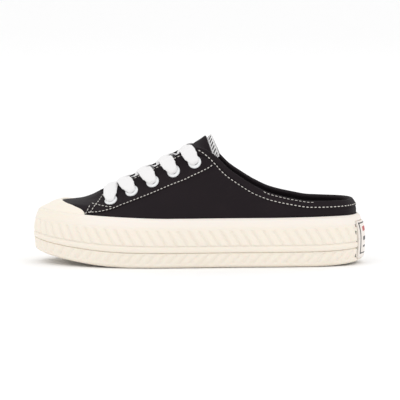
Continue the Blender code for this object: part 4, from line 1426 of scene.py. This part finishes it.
def build_stage(settings):
    """Camera at the photograph's angle, pale floor, soft light."""
    scene = bpy.context.scene
    scene.view_settings.view_transform = "Standard"
    target = Vector((settings.aim_x, settings.aim_y, settings.aim_z))
    turn = settings.azimuth
    level = math.cos(settings.elevation)
    back = Vector((math.sin(turn) * level, -math.cos(turn) * level, math.sin(settings.elevation)))
    lens = bpy.data.cameras.new("camera")
    lens.sensor_width = 36.0
    lens.lens = 36.0 * settings.camera_distance / settings.view_width
    lens.clip_end = 30.0
    camera = bpy.data.objects.new("camera", lens)
    camera.location = target + back * settings.camera_distance
    camera.rotation_euler = back.to_track_quat("Z", "Y").to_euler()
    scene.collection.objects.link(camera)
    scene.camera = camera
    bpy.ops.mesh.primitive_plane_add(size=12.0)
    floor = bpy.context.object
    floor.name = "floor"
    paper = Finish("pale_floor")
    grain = paper.noise(40.0, 2.0)
    paper.set(Base_Color=paper.mix(grain, (0.965, 0.965, 0.965, 1.0), (0.98, 0.98, 0.98, 1.0)), Roughness=0.9)
    floor.data.materials.append(paper.material)
    world = bpy.data.worlds.new("soft_studio")
    world.use_nodes = True
    world.node_tree.nodes["Background"].inputs[0].default_value = (1.0, 1.0, 1.0, 1.0)
    world.node_tree.nodes["Background"].inputs[1].default_value = settings.fill_light
    scene.world = world
    for name, place, size, power in LAMPS:
        lamp = bpy.data.lights.new(name, "AREA")
        lamp.size = size
        lamp.energy = power * settings.lamp_scale
        holder = bpy.data.objects.new(name, lamp)
        holder.location = place
        holder.rotation_euler = (Vector(place) - Vector((0, 0, 0.04))).to_track_quat("Z", "Y").to_euler()
        scene.collection.objects.link(holder)


def size_prop(name, description, default):
    return bpy.props.FloatProperty(
        name=name, description=description, default=default, unit="LENGTH", precision=5
    )


def colour_prop(name, description, default):
    return bpy.props.FloatVectorProperty(
        name=name, description=description, default=default, size=3, subtype="COLOR", min=0.0, max=1.0
    )


def angle_prop(name, description, degrees):
    return bpy.props.FloatProperty(
        name=name, description=description, default=math.radians(degrees), subtype="ANGLE"
    )


class SneakerSettings(bpy.types.PropertyGroup):
    """Sizes and colours of the sneaker's finish."""

    rib_pitch: size_prop("Rib pitch", "Way from one side rib to the next", 0.0086)
    rib_depth: size_prop("Rib depth", "Depth of the grooves between ribs", 0.0013)
    upper_lean: angle_prop("Upper rib lean", "Lean of the upper ribs", 32.0)
    lower_lean: angle_prop("Lower rib lean", "Lean of the lower ribs", 43.0)
    tread_pitch: size_prop("Tread pitch", "Way from one tread bar to the next", 0.009)
    weave_pitch: size_prop("Weave pitch", "Repeat of the canvas weave", 0.0011)
    lace_rib: size_prop("Lace rib", "Repeat of the lace's plait", 0.0013)
    lace_lean: size_prop("Lace lean", "How far each crossing leans to the toe over its eyestay", 0.0066)
    stitch_pitch: size_prop("Stitch pitch", "Repeat of the topstitching", 0.0033)
    canvas: colour_prop("Canvas", "Black cotton canvas", (0.0092, 0.0060, 0.0077))
    rubber: colour_prop("Rubber", "Cream sole rubber", (0.855, 0.785, 0.685))
    # Cream of the heel plate's field, and also the colour of the painted highlight along the sole's top band
    plate_cream_and_band_highlight: colour_prop("Band", "Paler rubber of the top band", (0.86, 0.80, 0.745))
    lace: colour_prop("Lace", "White cotton", (0.87, 0.86, 0.86))
    thread: colour_prop("Thread", "Off-white thread", (0.72, 0.69, 0.64))
    enamel: colour_prop("Eyelet", "White enamel", (0.78, 0.79, 0.80))
    footbed: colour_prop("Footbed", "Dark textile", (0.022, 0.020, 0.022))


class SneakerStage(bpy.types.PropertyGroup):
    """Camera and light."""

    azimuth: angle_prop("Azimuth", "Camera's turn from the shoe's side", 0.5)
    elevation: angle_prop("Elevation", "Camera's height over the floor, as an angle", 6.0)
    camera_distance: size_prop("Distance", "Camera's distance from the shoe", 4.0)
    view_width: size_prop("View width", "Width seen at the shoe", 0.3225)
    aim_x: size_prop("Aim X", "Where the camera looks", 0.0006)
    aim_y: size_prop("Aim Y", "Where the camera looks", -0.050)
    aim_z: size_prop("Aim Z", "Where the camera looks", 0.0561)
    fill_light: bpy.props.FloatProperty(name="Fill", description="Strength of the even light", default=1.0)
    lamp_scale: bpy.props.FloatProperty(name="Lamps", description="Strength of the soft lamps", default=0.3)


class SNEAKER_OT_stage(bpy.types.Operator):
    """Set up camera, floor and light"""

    bl_idname = "sneaker.stage"
    bl_label = "Stage"

    def execute(self, context):
        build_stage(context.scene.sneaker_stage)
        return {"FINISHED"}


class SNEAKER_OT_sole(bpy.types.Operator):
    """Build outsole, tread and midsole in full relief"""

    bl_idname = "sneaker.sole"
    bl_label = "Sole"

    def execute(self, context):
        build_outsole(context.scene.sneaker)
        build_midsole()
        return {"FINISHED"}


class SNEAKER_OT_heel_plate(bpy.types.Operator):
    """Build the plate on the back of the sole"""

    bl_idname = "sneaker.heel_plate"
    bl_label = "Heel plate"

    def execute(self, context):
        build_heel_plate()
        return {"FINISHED"}


class SNEAKER_OT_insole(bpy.types.Operator):
    """Build the footbed"""

    bl_idname = "sneaker.insole"
    bl_label = "Footbed"

    def execute(self, context):
        build_insole()
        return {"FINISHED"}


class SNEAKER_OT_upper(bpy.types.Operator):
    """Build the canvas shell"""

    bl_idname = "sneaker.upper"
    bl_label = "Upper"

    def execute(self, context):
        build_upper()
        return {"FINISHED"}


class SNEAKER_OT_overlays(bpy.types.Operator):
    """Build toe cap, eyestays and collar tape"""

    bl_idname = "sneaker.overlays"
    bl_label = "Overlays"

    def execute(self, context):
        build_toe_cap()
        build_eyestays()
        build_binding()
        return {"FINISHED"}


class SNEAKER_OT_tongue(bpy.types.Operator):
    """Build the tongue and its label"""

    bl_idname = "sneaker.tongue"
    bl_label = "Tongue"

    def execute(self, context):
        build_tongue()
        return {"FINISHED"}


class SNEAKER_OT_eyelets(bpy.types.Operator):
    """Build the eyelet rings"""

    bl_idname = "sneaker.eyelets"
    bl_label = "Eyelets"

    def execute(self, context):
        build_eyelets()
        return {"FINISHED"}


class SNEAKER_OT_laces(bpy.types.Operator):
    """Run the flat lace through the eyelets"""

    bl_idname = "sneaker.laces"
    bl_label = "Laces"

    def execute(self, context):
        build_laces(context.scene.sneaker)
        return {"FINISHED"}


class SNEAKER_OT_stitches(bpy.types.Operator):
    """Sew the topstitching"""

    bl_idname = "sneaker.stitches"
    bl_label = "Stitches"

    def execute(self, context):
        build_stitches(context.scene.sneaker)
        return {"FINISHED"}


STEPS = (
    SNEAKER_OT_stage,
    SNEAKER_OT_sole,
    SNEAKER_OT_heel_plate,
    SNEAKER_OT_insole,
    SNEAKER_OT_upper,
    SNEAKER_OT_overlays,
    SNEAKER_OT_tongue,
    SNEAKER_OT_eyelets,
    SNEAKER_OT_laces,
    SNEAKER_OT_stitches,
)


class SNEAKER_PT_panel(bpy.types.Panel):
    """Buttons and values of the sneaker"""

    bl_idname = "SNEAKER_PT_panel"
    bl_label = "Sneaker"
    bl_space_type = "VIEW_3D"
    bl_region_type = "UI"
    bl_category = "Sneaker"

    def draw(self, context):
        for step in STEPS:
            self.layout.operator(step.bl_idname)
        for group in (context.scene.sneaker, context.scene.sneaker_stage):
            for name in group.bl_rna.properties.keys():
                if name not in ("rna_type", "name"):
                    self.layout.prop(group, name)


CLASSES = (SneakerSettings, SneakerStage, *STEPS, SNEAKER_PT_panel)


def register():
    for kind in CLASSES:
        bpy.utils.register_class(kind)
    bpy.types.Scene.sneaker = bpy.props.PointerProperty(type=SneakerSettings)
    bpy.types.Scene.sneaker_stage = bpy.props.PointerProperty(type=SneakerStage)


def unregister():
    del bpy.types.Scene.sneaker_stage
    del bpy.types.Scene.sneaker
    for kind in reversed(CLASSES):
        bpy.utils.unregister_class(kind)


def main():
    register()
    for step in STEPS:
        group, name = step.bl_idname.split(".")
        getattr(getattr(bpy.ops, group), name)()


if __name__ == "__main__":
    main()
